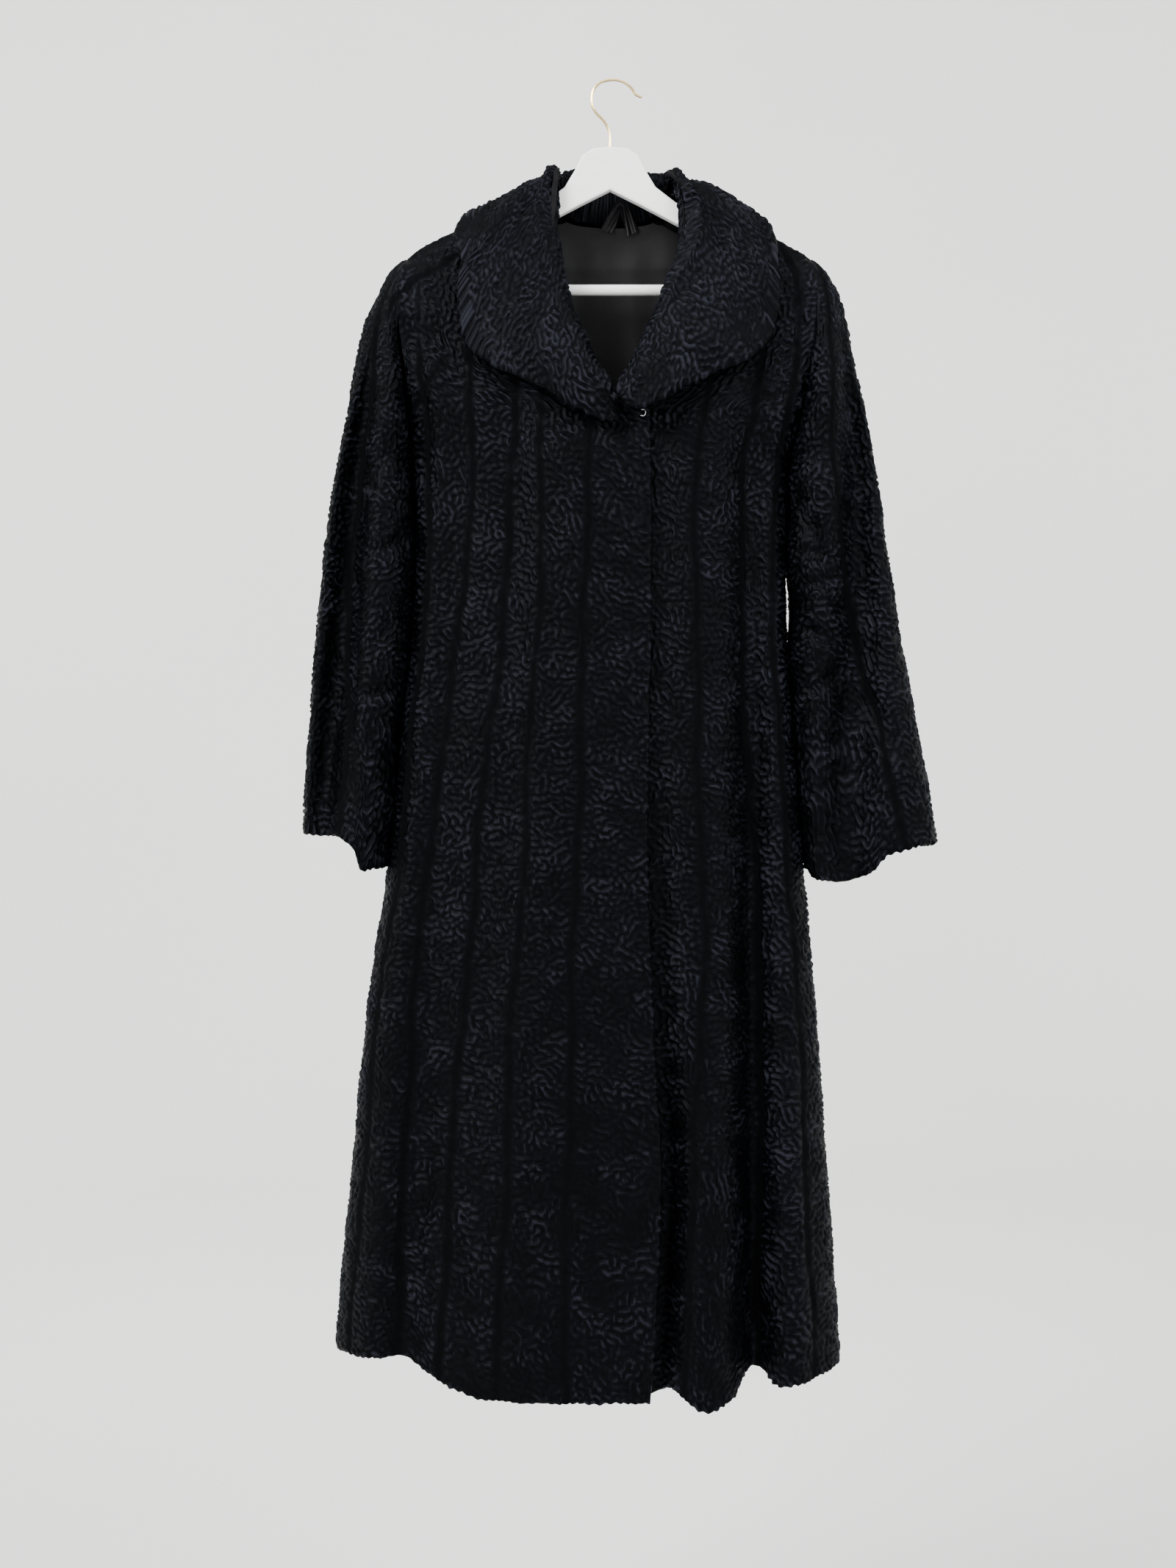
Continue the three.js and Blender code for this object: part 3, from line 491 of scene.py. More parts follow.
def back_surface(drop, angle):
    x = body_point(1, drop, angle)[..., 0]
    hemmed = body_point(1, with_hem(BACK_HEM, drop, x), angle)
    share = 1 - smooth_step(NECK_DROP, BACK_NECK_BLEND_DROP, drop)
    lowered = -hemmed[..., 2] + (value_at(BACK_NECK, x, "neck", "x") - NECK_DROP) * share
    return body_point(1, lowered, angle_of_x(lowered, hemmed[..., 0]))


def sleeve_point(rows, side, face, drop, place):
    """Points of a sleeve; place runs from its inner edge (0) to its outer edge (1)."""
    reach = value_at(BODY, drop, "right" if side < 0 else "left")
    tuck = SLEEVE_TUCK + CUFF_TUCK * smooth_step(*CUFF_TUCK_DROPS, drop)
    inner = np.maximum(value_at(rows, drop, "inner"), reach) - tuck
    outer = value_at(rows, drop, "outer")
    armhole = value_at(BODY, drop, "armhole")
    swell = value_at(rows, drop, side_name(face))
    turn = np.cos(np.pi * place)
    flush = flush_share(face, drop) * (1 - smooth_step(*FLUSH_PLACES, place))
    flatness = mix(SLEEVE_FLATNESS, FLUSH_FLATNESS, flush)
    fullness = np.maximum(np.sin(np.pi * place), 0) ** flatness
    valley_at = value_at(rows, drop, "valley_at") if face < 0 else BACK_VALLEY_AT
    offset = (place - valley_at) / VALLEY_WIDTH
    share = 1 if face < 0 else BACK_VALLEY_SHARE
    valley = value_at(rows, drop, "valley") * share * np.exp(-offset * offset)
    x = side * (inner + (outer - inner) * (1 - turn) / 2)
    sink = valley * np.minimum(1, VALLEY_FADE * fullness)
    y = face * (armhole * (1 + turn) / 2 + swell * fullness - sink)
    return joined(x, y, -drop + 0 * x)


def sleeve_surface(rows, cuff, side, face):
    last = rows["drop"][-1]

    def surface(drop, place):
        blend = smooth_step(last - CUFF_BLEND, last, drop)
        lowered = drop + (value_at(cuff, place, side_name(face), "place") - last) * blend
        return sleeve_point(rows, side, face, lowered, place)

    return surface


def unit(vectors):
    return vectors / np.maximum(np.linalg.norm(vectors, axis=-1, keepdims=True), 1e-9)


def grid_normals(points, outward):
    across = np.gradient(points, axis=1)
    down = np.gradient(points, axis=0)
    return unit(np.cross(across, down)) * outward


def inside_body(points):
    drop = -points[..., 2]
    front = points[..., 1] < 0
    middle, half = body_span(drop)
    angle = angle_of_x(drop, points[..., 0])
    before = points[..., 1] > body_point(-1, drop, angle)[..., 1]
    behind = points[..., 1] < body_point(1, drop, angle)[..., 1]
    within = (drop >= NECK_DROP) & (np.abs(points[..., 0] - middle) <= half)
    return within & np.where(front, before, behind)


def off_body(points, facing):
    """Moves points of the collar's fall off the body, along the way the fall faces."""
    clear = COLLAR_WALL + COLLAR_CLEAR
    back_way = np.where(points[..., 1] < 0, 1.0, -1.0) * clear
    probes = [
        -facing * clear,
        joined(0 * back_way, back_way, 0 * back_way),
        joined(0 * back_way, 0 * back_way, 0 * back_way - clear),
    ]
    moved = points.copy()
    for _ in range(OFF_BODY_TRIES):
        close = np.any([inside_body(moved + probe) for probe in probes], axis=0)
        if not close.any():
            break
        moved[close] += facing[close] * OFF_BODY_STEP
    return moved


def collar_sections():
    """Sections of the collar: up the stand, over the roll and down the fall."""
    base, roll, edge = (
        joined(COLLAR[part + "_x"], COLLAR[part + "_y"], -COLLAR[part + "_drop"])
        for part in ("base", "roll", "edge")
    )
    outward = edge - base
    outward[:, 2] = 0
    outward = unit(outward)

    def rolled(angle):
        points = roll - outward * ROLL_RADIUS * math.cos(angle)
        points[:, 2] = roll[:, 2] - ROLL_RADIUS * (1 - math.sin(angle))
        return points

    fall_top = rolled(math.pi)
    fall = edge - fall_top
    facing = outward * np.abs(fall[:, 2:])
    facing[:, 2] = np.hypot(fall[:, 0], fall[:, 1])
    facing = unit(facing)
    rows = [base, mix(base, rolled(0), 0.5)]
    for i in range(ROLL_STEPS + 1):
        points = rolled(math.pi * i / ROLL_STEPS)
        rows.append(points if i < ROLL_STEPS - 1 else off_body(points, facing))
    for i in range(1, FALL_STEPS + 1):
        t = i / FALL_STEPS
        raised = COLLAR["swell"][:, None] * 4 * t * (1 - t)
        rows.append(off_body(mix(fall_top, edge, t) + facing * raised, facing))
    return np.array(rows)


def resampled(points, keys, at):
    """A smooth curve through the rows of points, read at the given places of their keys."""
    tangents = np.gradient(points, keys, axis=0)
    i = np.clip(np.searchsorted(keys, at) - 1, 0, len(keys) - 2)
    span = (keys[i + 1] - keys[i]).reshape(-1, *[1] * (points.ndim - 1))
    t = (at - keys[i]).reshape(span.shape) / span
    return curve(points[i], points[i + 1], tangents[i], tangents[i + 1], t, span)


def mean_steps(points):
    """Distance along the rows of a grid, on average over its columns."""
    steps = np.linalg.norm(np.diff(points, axis=0), axis=-1)
    return np.concatenate([[0], np.cumsum(steps.mean(axis=1))])


def frequencies(shape, cell):
    return np.fft.fftfreq(shape[0], cell)[:, None], np.fft.rfftfreq(shape[1], cell)[None, :]


def smooth_noise(shape, cell, scale, seed):
    """Soft random field of about -1 to 1 whose swells are about a scale wide."""
    rng = np.random.default_rng(seed)
    down, across = frequencies(shape, cell)
    band = np.exp(-((across * scale) ** 2 + (down * scale) ** 2) * 2)
    field = np.fft.irfft2(np.fft.rfft2(rng.standard_normal(shape)) * band, s=shape)
    return np.clip(field / (field.std() * 2), -1, 1)


def soft_field(shape, scale, weight, seed):
    return smooth_noise(shape, FIELD_CELL, scale, seed) * weight


def curl_field(lean, keep, seed):
    """Worm-like ridges from -1 to 1 that run the way that lean says; keep is 0 where it is plain."""
    shape = lean.shape
    rng = np.random.default_rng(seed)
    down, across = frequencies(shape, FIELD_CELL)
    ring = np.exp(-(((np.hypot(across, down) * CURL_PITCH - 1) / RING_WIDTH) ** 2))
    heading = np.arctan2(down, across)
    ways = [math.pi * k / CURL_WAYS for k in range(CURL_WAYS)]
    filters = [ring * np.cos(heading - way - math.pi / 2) ** WAY_SHARPNESS for way in ways]
    weights = [CURL_CHAOS + np.cos(lean - way) ** WAY_SHARPNESS for way in ways]
    field = rng.standard_normal(shape) * keep
    for _ in range(CURL_ROUNDS):
        spectrum = np.fft.rfft2(field)
        field = sum(w * np.fft.irfft2(spectrum * f, s=shape) for w, f in zip(weights, filters))
        field = np.tanh(CURL_GAIN * field / field.std()) * keep
    return field


def ripple(at):
    """Uneven waves from 0 to 1 that are the same for every piece which meets along an edge."""
    stray = 2.2 * np.sin(at / 11)
    strength = 0.62 + 0.38 * np.sin(at / 23)
    wave = np.sin(at / 1.35 + stray) * strength
    slow_wave = np.sin(at / 6.1)
    return 0.5 + 0.34 * wave + 0.16 * slow_wave


def read_field(field, row, column):
    """Values of a field between its cells."""
    row = np.clip(row, 0, field.shape[0] - 1.001)
    column = np.clip(column, 0, field.shape[1] - 1.001)
    i, j = row.astype(int), column.astype(int)
    a, b = row - i, column - j
    upper = field[i, j] * (1 - b) + field[i, j + 1] * b
    lower = field[i + 1, j] * (1 - b) + field[i + 1, j + 1] * b
    return upper * (1 - a) + lower * a


def lay_out(surface, rows, start, end, columns, middle, inset):
    """Places the columns of each row at equal steps along the cloth, the first and the last one
    drawn in by the inset. Returns where they are across the surface, how far along the cloth
    from the middle line, and the same for any value across."""
    across = start[:, None] + (end - start)[:, None] * np.linspace(0, 1, ACROSS_SAMPLES)
    points = surface(rows[:, None], across)
    steps = np.linalg.norm(np.diff(points, axis=1), axis=-1)
    arc = np.concatenate([np.zeros((len(rows), 1)), np.cumsum(steps, axis=1)], axis=1)
    arc -= np.array([np.interp(middle, across[i], arc[i]) for i in range(len(rows))])[:, None]
    most = INSET_SHARE * (arc[:, -1:] - arc[:, :1])
    first = arc[:, :1] + np.minimum(inset[0], most)
    last = arc[:, -1:] - np.minimum(inset[1], most)
    along = mix(first, last, np.linspace(0, 1, columns))
    placed = np.array([np.interp(along[i], arc[i], across[i]) for i in range(len(rows))])

    def arc_of(values):
        return np.array(
            [np.interp(values[i], across[i], arc[i], -FAR, FAR) for i in range(len(rows))]
        )

    return placed, along, arc_of


def offset_from(start_x, start_drop, end_x, end_drop, x, drop):
    """Distance in the front view from a straight line, and the share of its length there, which
    goes on past its ends."""
    way_x, way_drop = end_x - start_x, end_drop - start_drop
    t = (x - start_x) * way_x + (drop - start_drop) * way_drop
    t = t / (way_x * way_x + way_drop * way_drop)
    held = np.clip(t, 0, 1)
    return np.hypot(x - start_x - held * way_x, drop - start_drop - held * way_drop), t


def distance_to_line(line, x, drop):
    """Distance in the front view from a line of points."""
    ends = list(zip(line["x"], line["drop"]))
    parts = [offset_from(*a, *b, x, drop)[0] for a, b in zip(ends, ends[1:])]
    return np.min(parts, axis=0)


def crease_depth(points, face):
    """How far the soft creases sink the cloth. They fade out at their ends."""
    x, drop = points[..., 0], -points[..., 2]
    depth = np.zeros(x.shape)
    for crease_face, *ends, width, sink in zip(*CREASES.values()):
        if crease_face == face:
            off, t = offset_from(*ends, x, drop)
            beyond = np.maximum(np.abs(t - 0.5) - CREASE_CORE, 0)
            fade = np.exp(-((beyond * CREASE_FALL) ** 2))
            depth += sink * fade * np.exp(-((off / width) ** 2))
    return depth


def edge_roll(points, normals, at, inner, radius):
    """Rows that carry one edge of a grid round under itself."""
    edge, normal = points[at], normals[at]
    way = edge - points[inner]
    way = unit(way - normal * (way * normal).sum(axis=-1, keepdims=True))
    rows = []
    for k in range(1, EDGE_TURNS + 1):
        angle = math.pi * k / EDGE_TURNS
        out, under = radius * math.sin(angle), radius * (1 - math.cos(angle))
        rows.append(edge + way * out - normal * under)
    return rows + [rows[-1] - way * EDGE_TUCK]


def with_rolls(points, normals, extra, radii):
    """Rolls the four edges of a grid under. radii are for its first and last column and row."""
    for across, (first, last) in ((True, radii[:2]), (False, radii[2:])):
        if across:
            points, normals, extra = (np.swapaxes(a, 0, 1) for a in (points, normals, extra))
        before = edge_roll(points, normals, 0, 1, first)
        after = edge_roll(points, normals, -1, -2, last)
        points = np.concatenate([before[::-1], points, after])
        normals, extra = (
            np.concatenate([a[:1]] * len(before) + [a] + [a[-1:]] * len(after))
            for a in (normals, extra)
        )
        if across:
            points, normals, extra = (np.swapaxes(a, 0, 1) for a in (points, normals, extra))
    return points, extra


def grid_faces(rows, columns, outward):
    index = np.arange(rows * columns).reshape(rows, columns)
    a, b = index[:-1, :-1], index[:-1, 1:]
    c, d = index[1:, 1:], index[1:, :-1]
    order = (a, d, c, b) if outward < 0 else (a, b, c, d)
    return np.stack(order, axis=-1).reshape(-1, 4)


def mesh_piece(name, points, outward, material, extra=None):
    """One object from a grid of points in millimetres. extra holds, for each point, how high it
    lies on a ridge of the fur, which paints highlight and shade into the fur's colour, and how far
    it is on a plain band."""
    faces = grid_faces(*points.shape[:2], outward)
    points = points.reshape(-1, 3)
    mesh = bpy.data.meshes.new(name)
    mesh.vertices.add(len(points))
    mesh.vertices.foreach_set("co", (points / METRE).astype(np.float32).ravel())
    mesh.loops.add(faces.size)
    mesh.loops.foreach_set("vertex_index", faces.astype(np.int32).ravel())
    mesh.polygons.add(len(faces))
    mesh.polygons.foreach_set("loop_start", np.arange(0, faces.size, 4, dtype=np.int32))
    mesh.materials.append(material)
    if extra is not None:
        for kind, values in (("ridge_painted_shading", extra[..., 0]), ("plain", extra[..., 1])):
            layer = mesh.attributes.new(kind, "FLOAT", "POINT")
            layer.data.foreach_set("value", values.astype(np.float32).ravel())
    mesh.update(calc_edges=True)
    mesh.shade_smooth()
    mesh.validate()
    obj = bpy.data.objects.new(name, mesh)
    bpy.context.scene.collection.objects.link(obj)
    return obj


def grid_area(points):
    across = np.diff(points, axis=1)[:-1]
    down = np.diff(points, axis=0)[:, :-1]
    return np.linalg.norm(np.cross(across, down), axis=-1).sum()


def flat_size(points):
    """Width, length and area of the cut of a grid of cloth, in metres."""
    width = np.linalg.norm(np.diff(points, axis=1), axis=-1).sum(axis=1).max()
    length = np.linalg.norm(np.diff(points, axis=0), axis=-1).sum(axis=0).max()
    area = grid_area(points) / METRE**2
    return (width / METRE, length / METRE), min(area, width * length / METRE**2)


# Materials

TONE_STOPS = (0.3, 0.7)
METAL_WEAR = 0.85


def principled(name):
    made = bpy.data.materials.new(name)
    made.use_nodes = True
    return made, made.node_tree, made.node_tree.nodes["Principled BSDF"]


def object_noise(tree, scale, detail, stretch=(1, 1, 1)):
    place = tree.nodes.new("ShaderNodeTexCoord")
    mapping = tree.nodes.new("ShaderNodeMapping")
    mapping.inputs["Scale"].default_value = stretch
    noise = tree.nodes.new("ShaderNodeTexNoise")
    noise.inputs["Scale"].default_value = scale
    noise.inputs["Detail"].default_value = detail
    tree.links.new(place.outputs["Object"], mapping.inputs["Vector"])
    tree.links.new(mapping.outputs["Vector"], noise.inputs["Vector"])
    return noise.outputs["Fac"]


def ramp(tree, source, stops):
    node = tree.nodes.new("ShaderNodeValToRGB")
    tree.links.new(source, node.inputs["Fac"])
    elements = node.color_ramp.elements
    while len(elements) < len(stops):
        elements.new(0.5)
    for element, (position, colour) in zip(elements, stops):
        element.position = position
        element.color = (*colour, 1)
    return node


def bump(tree, shader, height, strength, distance):
    node = tree.nodes.new("ShaderNodeBump")
    node.inputs["Strength"].default_value = strength
    node.inputs["Distance"].default_value = distance
    tree.links.new(height, node.inputs["Height"])
    tree.links.new(node.outputs["Normal"], shader.inputs["Normal"])


def coloured(tree, shader, source, dark, light):
    """A colour that goes from a dark tone to a light one as the source rises."""
    tone = ramp(tree, source, list(zip(TONE_STOPS, (dark, light))))
    tree.links.new(tone.outputs["Color"], shader.inputs["Base Color"])


def mixed(tree, blend, factor, first, second):
    """Mixes two colours. The factor and the second colour may be a value or a socket."""
    node = tree.nodes.new("ShaderNodeMix")
    node.data_type = "RGBA"
    node.blend_type = blend
    for name, given in (("Factor", factor), ("A", first), ("B", second)):
        if isinstance(given, bpy.types.NodeSocket):
            tree.links.new(given, node.inputs[name])
        else:
            node.inputs[name].default_value = given
    return node.outputs["Result"]


def attribute(tree, name):
    node = tree.nodes.new("ShaderNodeAttribute")
    node.attribute_name = name
    return node.outputs["Fac"]


def set_values(shader, values):
    for name, value in values.items():
        shader.inputs[name].default_value = value


def grey(value):
    return (value, value, value)


# Base colour by ridge height: painted shade in the valleys, a painted highlight on the crests
FUR_RIDGE_HIGHLIGHT_AND_SHADE = [
    (0.15, (0.0002, 0.0002, 0.0003)),
    (0.48, (0.0007, 0.0008, 0.0013)),
    (0.85, (0.0094, 0.0100, 0.0142)),
]
FUR_PATCHES = [(0.3, (0.72, 0.72, 0.74)), (0.72, grey(1.15))]
FUR_ROUGHNESS = [(0.0, grey(0.46)), (1.0, grey(0.95))]
BAND_COLOUR = (0.0009, 0.0009, 0.0012, 1)
FUR_SHINE = {
    "Specular IOR Level": 0.044,
    "Specular Tint": (0.80, 0.86, 1.0, 1),
    "Sheen Weight": 0.004,
    "Sheen Roughness": 0.45,
    "Sheen Tint": (0.42, 0.47, 0.7, 1),
}


def fur_material():
    """Ridges with a painted highlight and valleys with painted shade in the base colour, matt bands
    and fine hairs.
    """
    made, tree, shader = principled("curled_fur")
    plain = attribute(tree, "plain")
    # Painted highlight on the ridges and painted shade in the valleys, from the ridge height
    tone = ramp(tree, attribute(tree, "ridge_painted_shading"), FUR_RIDGE_HIGHLIGHT_AND_SHADE).outputs["Color"]
    patches = ramp(tree, object_noise(tree, 26, 3), FUR_PATCHES).outputs["Color"]
    tinted = mixed(tree, "MULTIPLY", 1, tone, patches)
    banded = mixed(tree, "MIX", plain, tinted, BAND_COLOUR)
    tree.links.new(banded, shader.inputs["Base Color"])
    matt = ramp(tree, plain, FUR_ROUGHNESS)
    tree.links.new(matt.outputs["Color"], shader.inputs["Roughness"])
    bump(tree, shader, object_noise(tree, 900, 2, (1, 1, 0.6)), 0.5, 0.0006)
    set_values(shader, FUR_SHINE)
    return made


def toned_material(name, noise, dark, light, values, relief=None):
    """A material that wanders softly between two tones, with a fine relief where one is given."""
    made, tree, shader = principled(name)
    grain = object_noise(tree, *noise)
    coloured(tree, shader, grain, dark, light)
    if relief:
        bump(tree, shader, grain, *relief)
    set_values(shader, values)
    return made


def satin_material(name, dark, light, roughness):
    values = {"Roughness": roughness, "Specular IOR Level": 0.2}
    return toned_material(name, (1500, 2, (1, 1, 0.12)), dark, light, values, (0.08, 0.0002))


def metal_material(name, colour, roughness):
    darker = tuple(METAL_WEAR * c for c in colour)
    values = {"Metallic": 1, "Roughness": roughness}
    return toned_material(name, (300, 2), darker, colour, values)


FUR = fur_material()
SKIN = toned_material(
    "dark_inner_side", (160, 3), (0.004, 0.004, 0.0045), (0.008, 0.008, 0.009),
    {"Roughness": 0.8, "Specular IOR Level": 0.05},
)
SATIN = satin_material("satin_lining", (0.0028, 0.0028, 0.0034), (0.0050, 0.0050, 0.0060), 0.6)
RIBBON = satin_material("satin_ribbon", (0.004, 0.004, 0.005), (0.008, 0.008, 0.009), 0.36)


# Fur panels


def cloth(piece, replaced):
    """Hangs a piece of cloth from the root and hides the solid that it stands for."""
    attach(piece, "root")
    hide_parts(replaced)


def finish_fur(name, fine, normals, looks, radii, under, outward):
    """Meshes of a panel's fur, with its edges rolled under, and of its plain inner side."""
    fine, looks = with_rolls(fine, normals, looks, radii)
    fur = mesh_piece(name + "_fur", fine, outward, FUR, looks)
    inside = mesh_piece(name + "_inside", under, -outward, SKIN)
    for piece in (fur, inside):
        cloth(piece, name)


def thinned(points, rows, columns):
    """Some of a grid's rows and columns, which is enough for an inner side."""
    picked = [
        np.linspace(1, size - 2, count).astype(int)
        for size, count in zip(points.shape, (rows, columns))
    ]
    return points[np.ix_(*picked)]


def strip_of(bands, along):
    """Which strip each place lies on, and how far it is from the nearest band."""
    strip = np.zeros(along.shape, int)
    nearest = np.full(along.shape, FAR)
    for band in bands:
        strip = strip + (along > band)
        nearest = np.minimum(nearest, np.abs(along - band))
    return strip, nearest


def band_width(drop):
    return mix(BAND_TOP_WIDTH, BAND_HEM_WIDTH, share_between(*BAND_WIDENING, drop))


def band_wander(rows, turn):
    """How far a band strays to the side on its way down."""
    return BAND_STRAY * (np.sin(rows / 47 + 2 * turn) + 0.6 * np.sin(rows / 19 + 3 * turn))


def cells_between(low, high):
    """Places of a field's cells from low to beyond high, in a count that is quick to transform."""
    count = int(math.ceil((high - low) / FIELD_CELL / FIELD_STEP + 1)) * FIELD_STEP
    return low + np.arange(count) * FIELD_CELL


def lean_field(strip, t, leans, swirl, seed):
    """Which way the ridges run, in radians: each strip's own way, and softly astray from it."""
    lean = np.zeros(strip.shape)
    for i in range(len(leans["top"])):
        lean = np.where(strip == i, along_three(leans, i, t), lean)
    wander = soft_field(strip.shape, *WANDER, seed)
    turned = soft_field(strip.shape, SWIRL_SCALE, swirl, seed + 1)
    return np.radians(lean + wander + turned)


def fur_height(curls, strip, seed):
    """Height of the fur from its ridges, uneven from patch to patch and from strip to strip."""
    patch = 1 - PATCHES[1] + soft_field(curls.shape, *PATCHES, seed + 3)
    crest = np.maximum(0.5 + 0.5 * curls, 0) ** CREST_SHARPNESS
    tuft = soft_field(curls.shape, *TUFTS, seed + 4)
    swell = soft_field(curls.shape, *SWELLS, seed + 5)
    strips = np.random.default_rng(seed + 6).uniform(-STRIP_SPREAD, STRIP_SPREAD, MOST_STRIPS)
    height = FUR_BASE + FUR_CREST * crest * patch + tuft + swell + strips[strip]
    return np.clip(height, 0, 1)


def fur_relief(rows, along, band_arcs, band_t, leans, swirl, seed, depth=None):
    """Height of the fur over each point of a panel, from 0 in a valley to 1 on a ridge. depth
    says how far down the cloth each point lies, where that isn't the same along a row."""
    down_cells = cells_between(rows[0], rows[-1])
    along_cells = cells_between(along.min(), along.max())
    grid = np.broadcast_to(along_cells, (len(down_cells), len(along_cells)))
    lines = [np.interp(down_cells, rows, arc)[:, None] for arc in band_arcs]
    strip, nearest = strip_of(lines, grid)
    t = np.broadcast_to(np.interp(down_cells, rows, band_t)[:, None], grid.shape)
    lean = lean_field(strip, t, leans, swirl, seed)
    keep = smooth_step(0, BAND_SLOPE, nearest - band_width(down_cells)[:, None] / 2)
    height = fur_height(curl_field(lean, keep, seed + 2), strip, seed)
    depth = rows[:, None] if depth is None else depth
    place_row = np.broadcast_to((depth - rows[0]) / FIELD_CELL, along.shape)
    return read_field(height, place_row, (along - along.min()) / FIELD_CELL)


def off_bands(rows, along, points, band_arcs, cross_bands, band_from, seed):
    """How far each point is off the plain bands, from 0 on a band to 1 on the full fur."""
    _, nearest = strip_of([arc[:, None] for arc in band_arcs], along)
    started = smooth_step(0, BAND_START, rows - band_from)[:, None]
    nearest = nearest + BAND_OPENING * (1 - started)
    for line in cross_bands:
        nearest = np.minimum(nearest, distance_to_line(line, points[..., 0], -points[..., 2]))
    uneven = smooth_noise(points.shape[:2], UNEVEN_CELL, UNEVEN_SCALE, seed + 6) * BAND_WANDER
    return smooth_step(-0.5, BAND_SLOPE, nearest + uneven - band_width(rows)[:, None] / 2)


def rippled(rows, along, ripples):
    """Where the outline is rippled: beside the first and the last column, as far as each row's
    share says."""
    first, last = (np.broadcast_to(share, rows.shape)[:, None] for share in ripples)
    beside_first = 1 - smooth_step(0, SEAM_FADE, along - along[:, :1])
    beside_last = 1 - smooth_step(0, SEAM_FADE, along[:, -1:] - along)
    return first * beside_first + last * beside_last


def seam_fade(rows, along, radii):
    """The fur closes up beside a seam, so that the panels meet there."""
    beside = (along - along[:, :1], along[:, -1:] - along, (rows - rows[0])[:, None])
    fade = np.ones(along.shape)
    for distance, radius in zip(beside, radii):
        if radius <= SEAM_ROLL:
            fade = fade * smooth_step(0, SEAM_FADE, distance)
    return fade


def fur_piece(name, surface, rows, ends, columns, bands, band_t, leans, face, outward, radii,
              seed, middle=0.0, cross_bands=(), ripples=(0, 0), band_from=0):
    """One panel of fur with its ridges and bands, and its plain inner side. ends holds where its
    rows start and stop, and band_t how far down the bands each row lies, from 0 to 1."""
    columns = int(columns / SPREAD)
    placed, along, arc_of = lay_out(surface, rows, *ends, columns, middle, radii)
    points = surface(rows[:, None], placed)
    flat = flat_size(points)
    lower_edge = smooth_step(rows[-1] - HEM_RIPPLE, rows[-1], rows)[:, None]
    points[..., 2] += RIPPLE * (2 * ripple(along + RIPPLE_SHIFT * seed) - 1) * lower_edge
    points = points - grid_normals(points, outward) * crease_depth(points, face)[..., None]
    normals = grid_normals(points, outward)
    band_arcs = [
        arc_of(along_three(bands, i, band_t)) + band_wander(rows, i + seed)
        for i in range(len(bands["top"]))
    ]
    relief = fur_relief(rows, along, band_arcs, band_t, leans, PANEL_SWIRL, seed)
    off_band = off_bands(rows, along, points, band_arcs, cross_bands, band_from, seed)
    sink = BAND_DEPTH * (1 - off_band) + CURL_DEPTH * (1 - relief) * off_band - FUR_LIFT
    outline = RIPPLE * ripple(rows)[:, None] * rippled(rows, along, ripples)
    sink = sink * seam_fade(rows, along, radii) + outline
    # The ridge height is kept to paint highlight and shade into the fur's colour
    looks = np.stack([relief * off_band, 1 - off_band], axis=-1)
    inner_grid = (max(INNER_LEAST, n // step) for n, step in zip(along.shape, INNER_STEPS))
    under = thinned(points - normals * WALL, *inner_grid)
    fine = points - normals * sink[..., None]
    finish_fur(name, fine, normals, looks, radii, under, outward)


def body_rows(spacing, top_roll):
    top, last = NECK_DROP + top_roll, SIDE_HEM_DROP - FREE_ROLL
    return np.linspace(top, last, int((last - top) / spacing / SPREAD) + 1)


def chosen(rows, keep):
    return {name: values[keep] for name, values in rows.items()}


def in_radians(bands):
    return {name: np.radians(values) for name, values in bands.items()}


def make_fronts():
    rows = body_rows(FRONT_SPACING, SEAM_ROLL)
    bands, band_t = in_radians(FRONT_BANDS), hang_share(rows)
    right_edge = angle_of_x(rows, value_at(NECKLINE, rows, "right"))
    left_edge = angle_of_x(rows, value_at(NECKLINE, rows, "left"))
    side = np.full(rows.shape, math.pi / 2)
    below_sleeve = smooth_step(*SLEEVE_END, rows)
    fur_piece(
        "front_right", front_right_surface, rows, (-side, right_edge), 160,
        chosen(bands, FRONT_BANDS["top"] < 0), band_t, FRONT_RIGHT_LEANS, face=-1, outward=-1,
        radii=(SEAM_ROLL, FREE_ROLL, SEAM_ROLL, FREE_ROLL), seed=11,
        cross_bands=(SHOULDER_BAND, UNDER_COLLAR_BAND), ripples=(below_sleeve, 0),
        band_from=BAND_TOP_DROP,
    )
    fur_piece(
        "front_left", front_left_surface, rows, (left_edge, side), 146,
        chosen(bands, FRONT_BANDS["top"] > 0), band_t, FRONT_LEFT_LEANS, face=-1, outward=-1,
        radii=(FREE_ROLL, SEAM_ROLL, SEAM_ROLL, FREE_ROLL), seed=29,
        cross_bands=(COLLAR_SIDE_BAND,), ripples=(0, below_sleeve), band_from=BAND_TOP_DROP,
    )


def make_back():
    rows = body_rows(BACK_SPACING, FREE_ROLL)
    side = np.full(rows.shape, math.pi / 2)
    fur_piece(
        "back", back_surface, rows, (-side, side), 208, in_radians(BACK_BANDS), hang_share(rows),
        BACK_LEANS, face=1, outward=1, radii=(SEAM_ROLL, SEAM_ROLL, FREE_ROLL, FREE_ROLL),
        seed=47, ripples=(smooth_step(*SLEEVE_END, rows),) * 2,
    )


def make_sleeve(name, rows, cuff, bands, side, face, spacing, seed, cross_bands=()):
    top, last = rows["drop"][0], rows["drop"][-1]
    lowest = last - FREE_ROLL
    drops = np.linspace(top, lowest, int((lowest - top) / spacing / SPREAD) + 1)
    fur_piece(
        name, sleeve_surface(rows, cuff, side, face), drops, (0 * drops, 0 * drops + 1),
        SLEEVE_ROUND / spacing, bands, (drops - top) / (last - top), SLEEVE_LEANS, face=face,
        outward=side * face, radii=(SEAM_ROLL, SEAM_ROLL, SEAM_ROLL, FREE_ROLL), seed=seed,
        middle=0.5, cross_bands=cross_bands,
        ripples=(0, smooth_step(*SLEEVE_RIPPLE, drops - top)),
    )


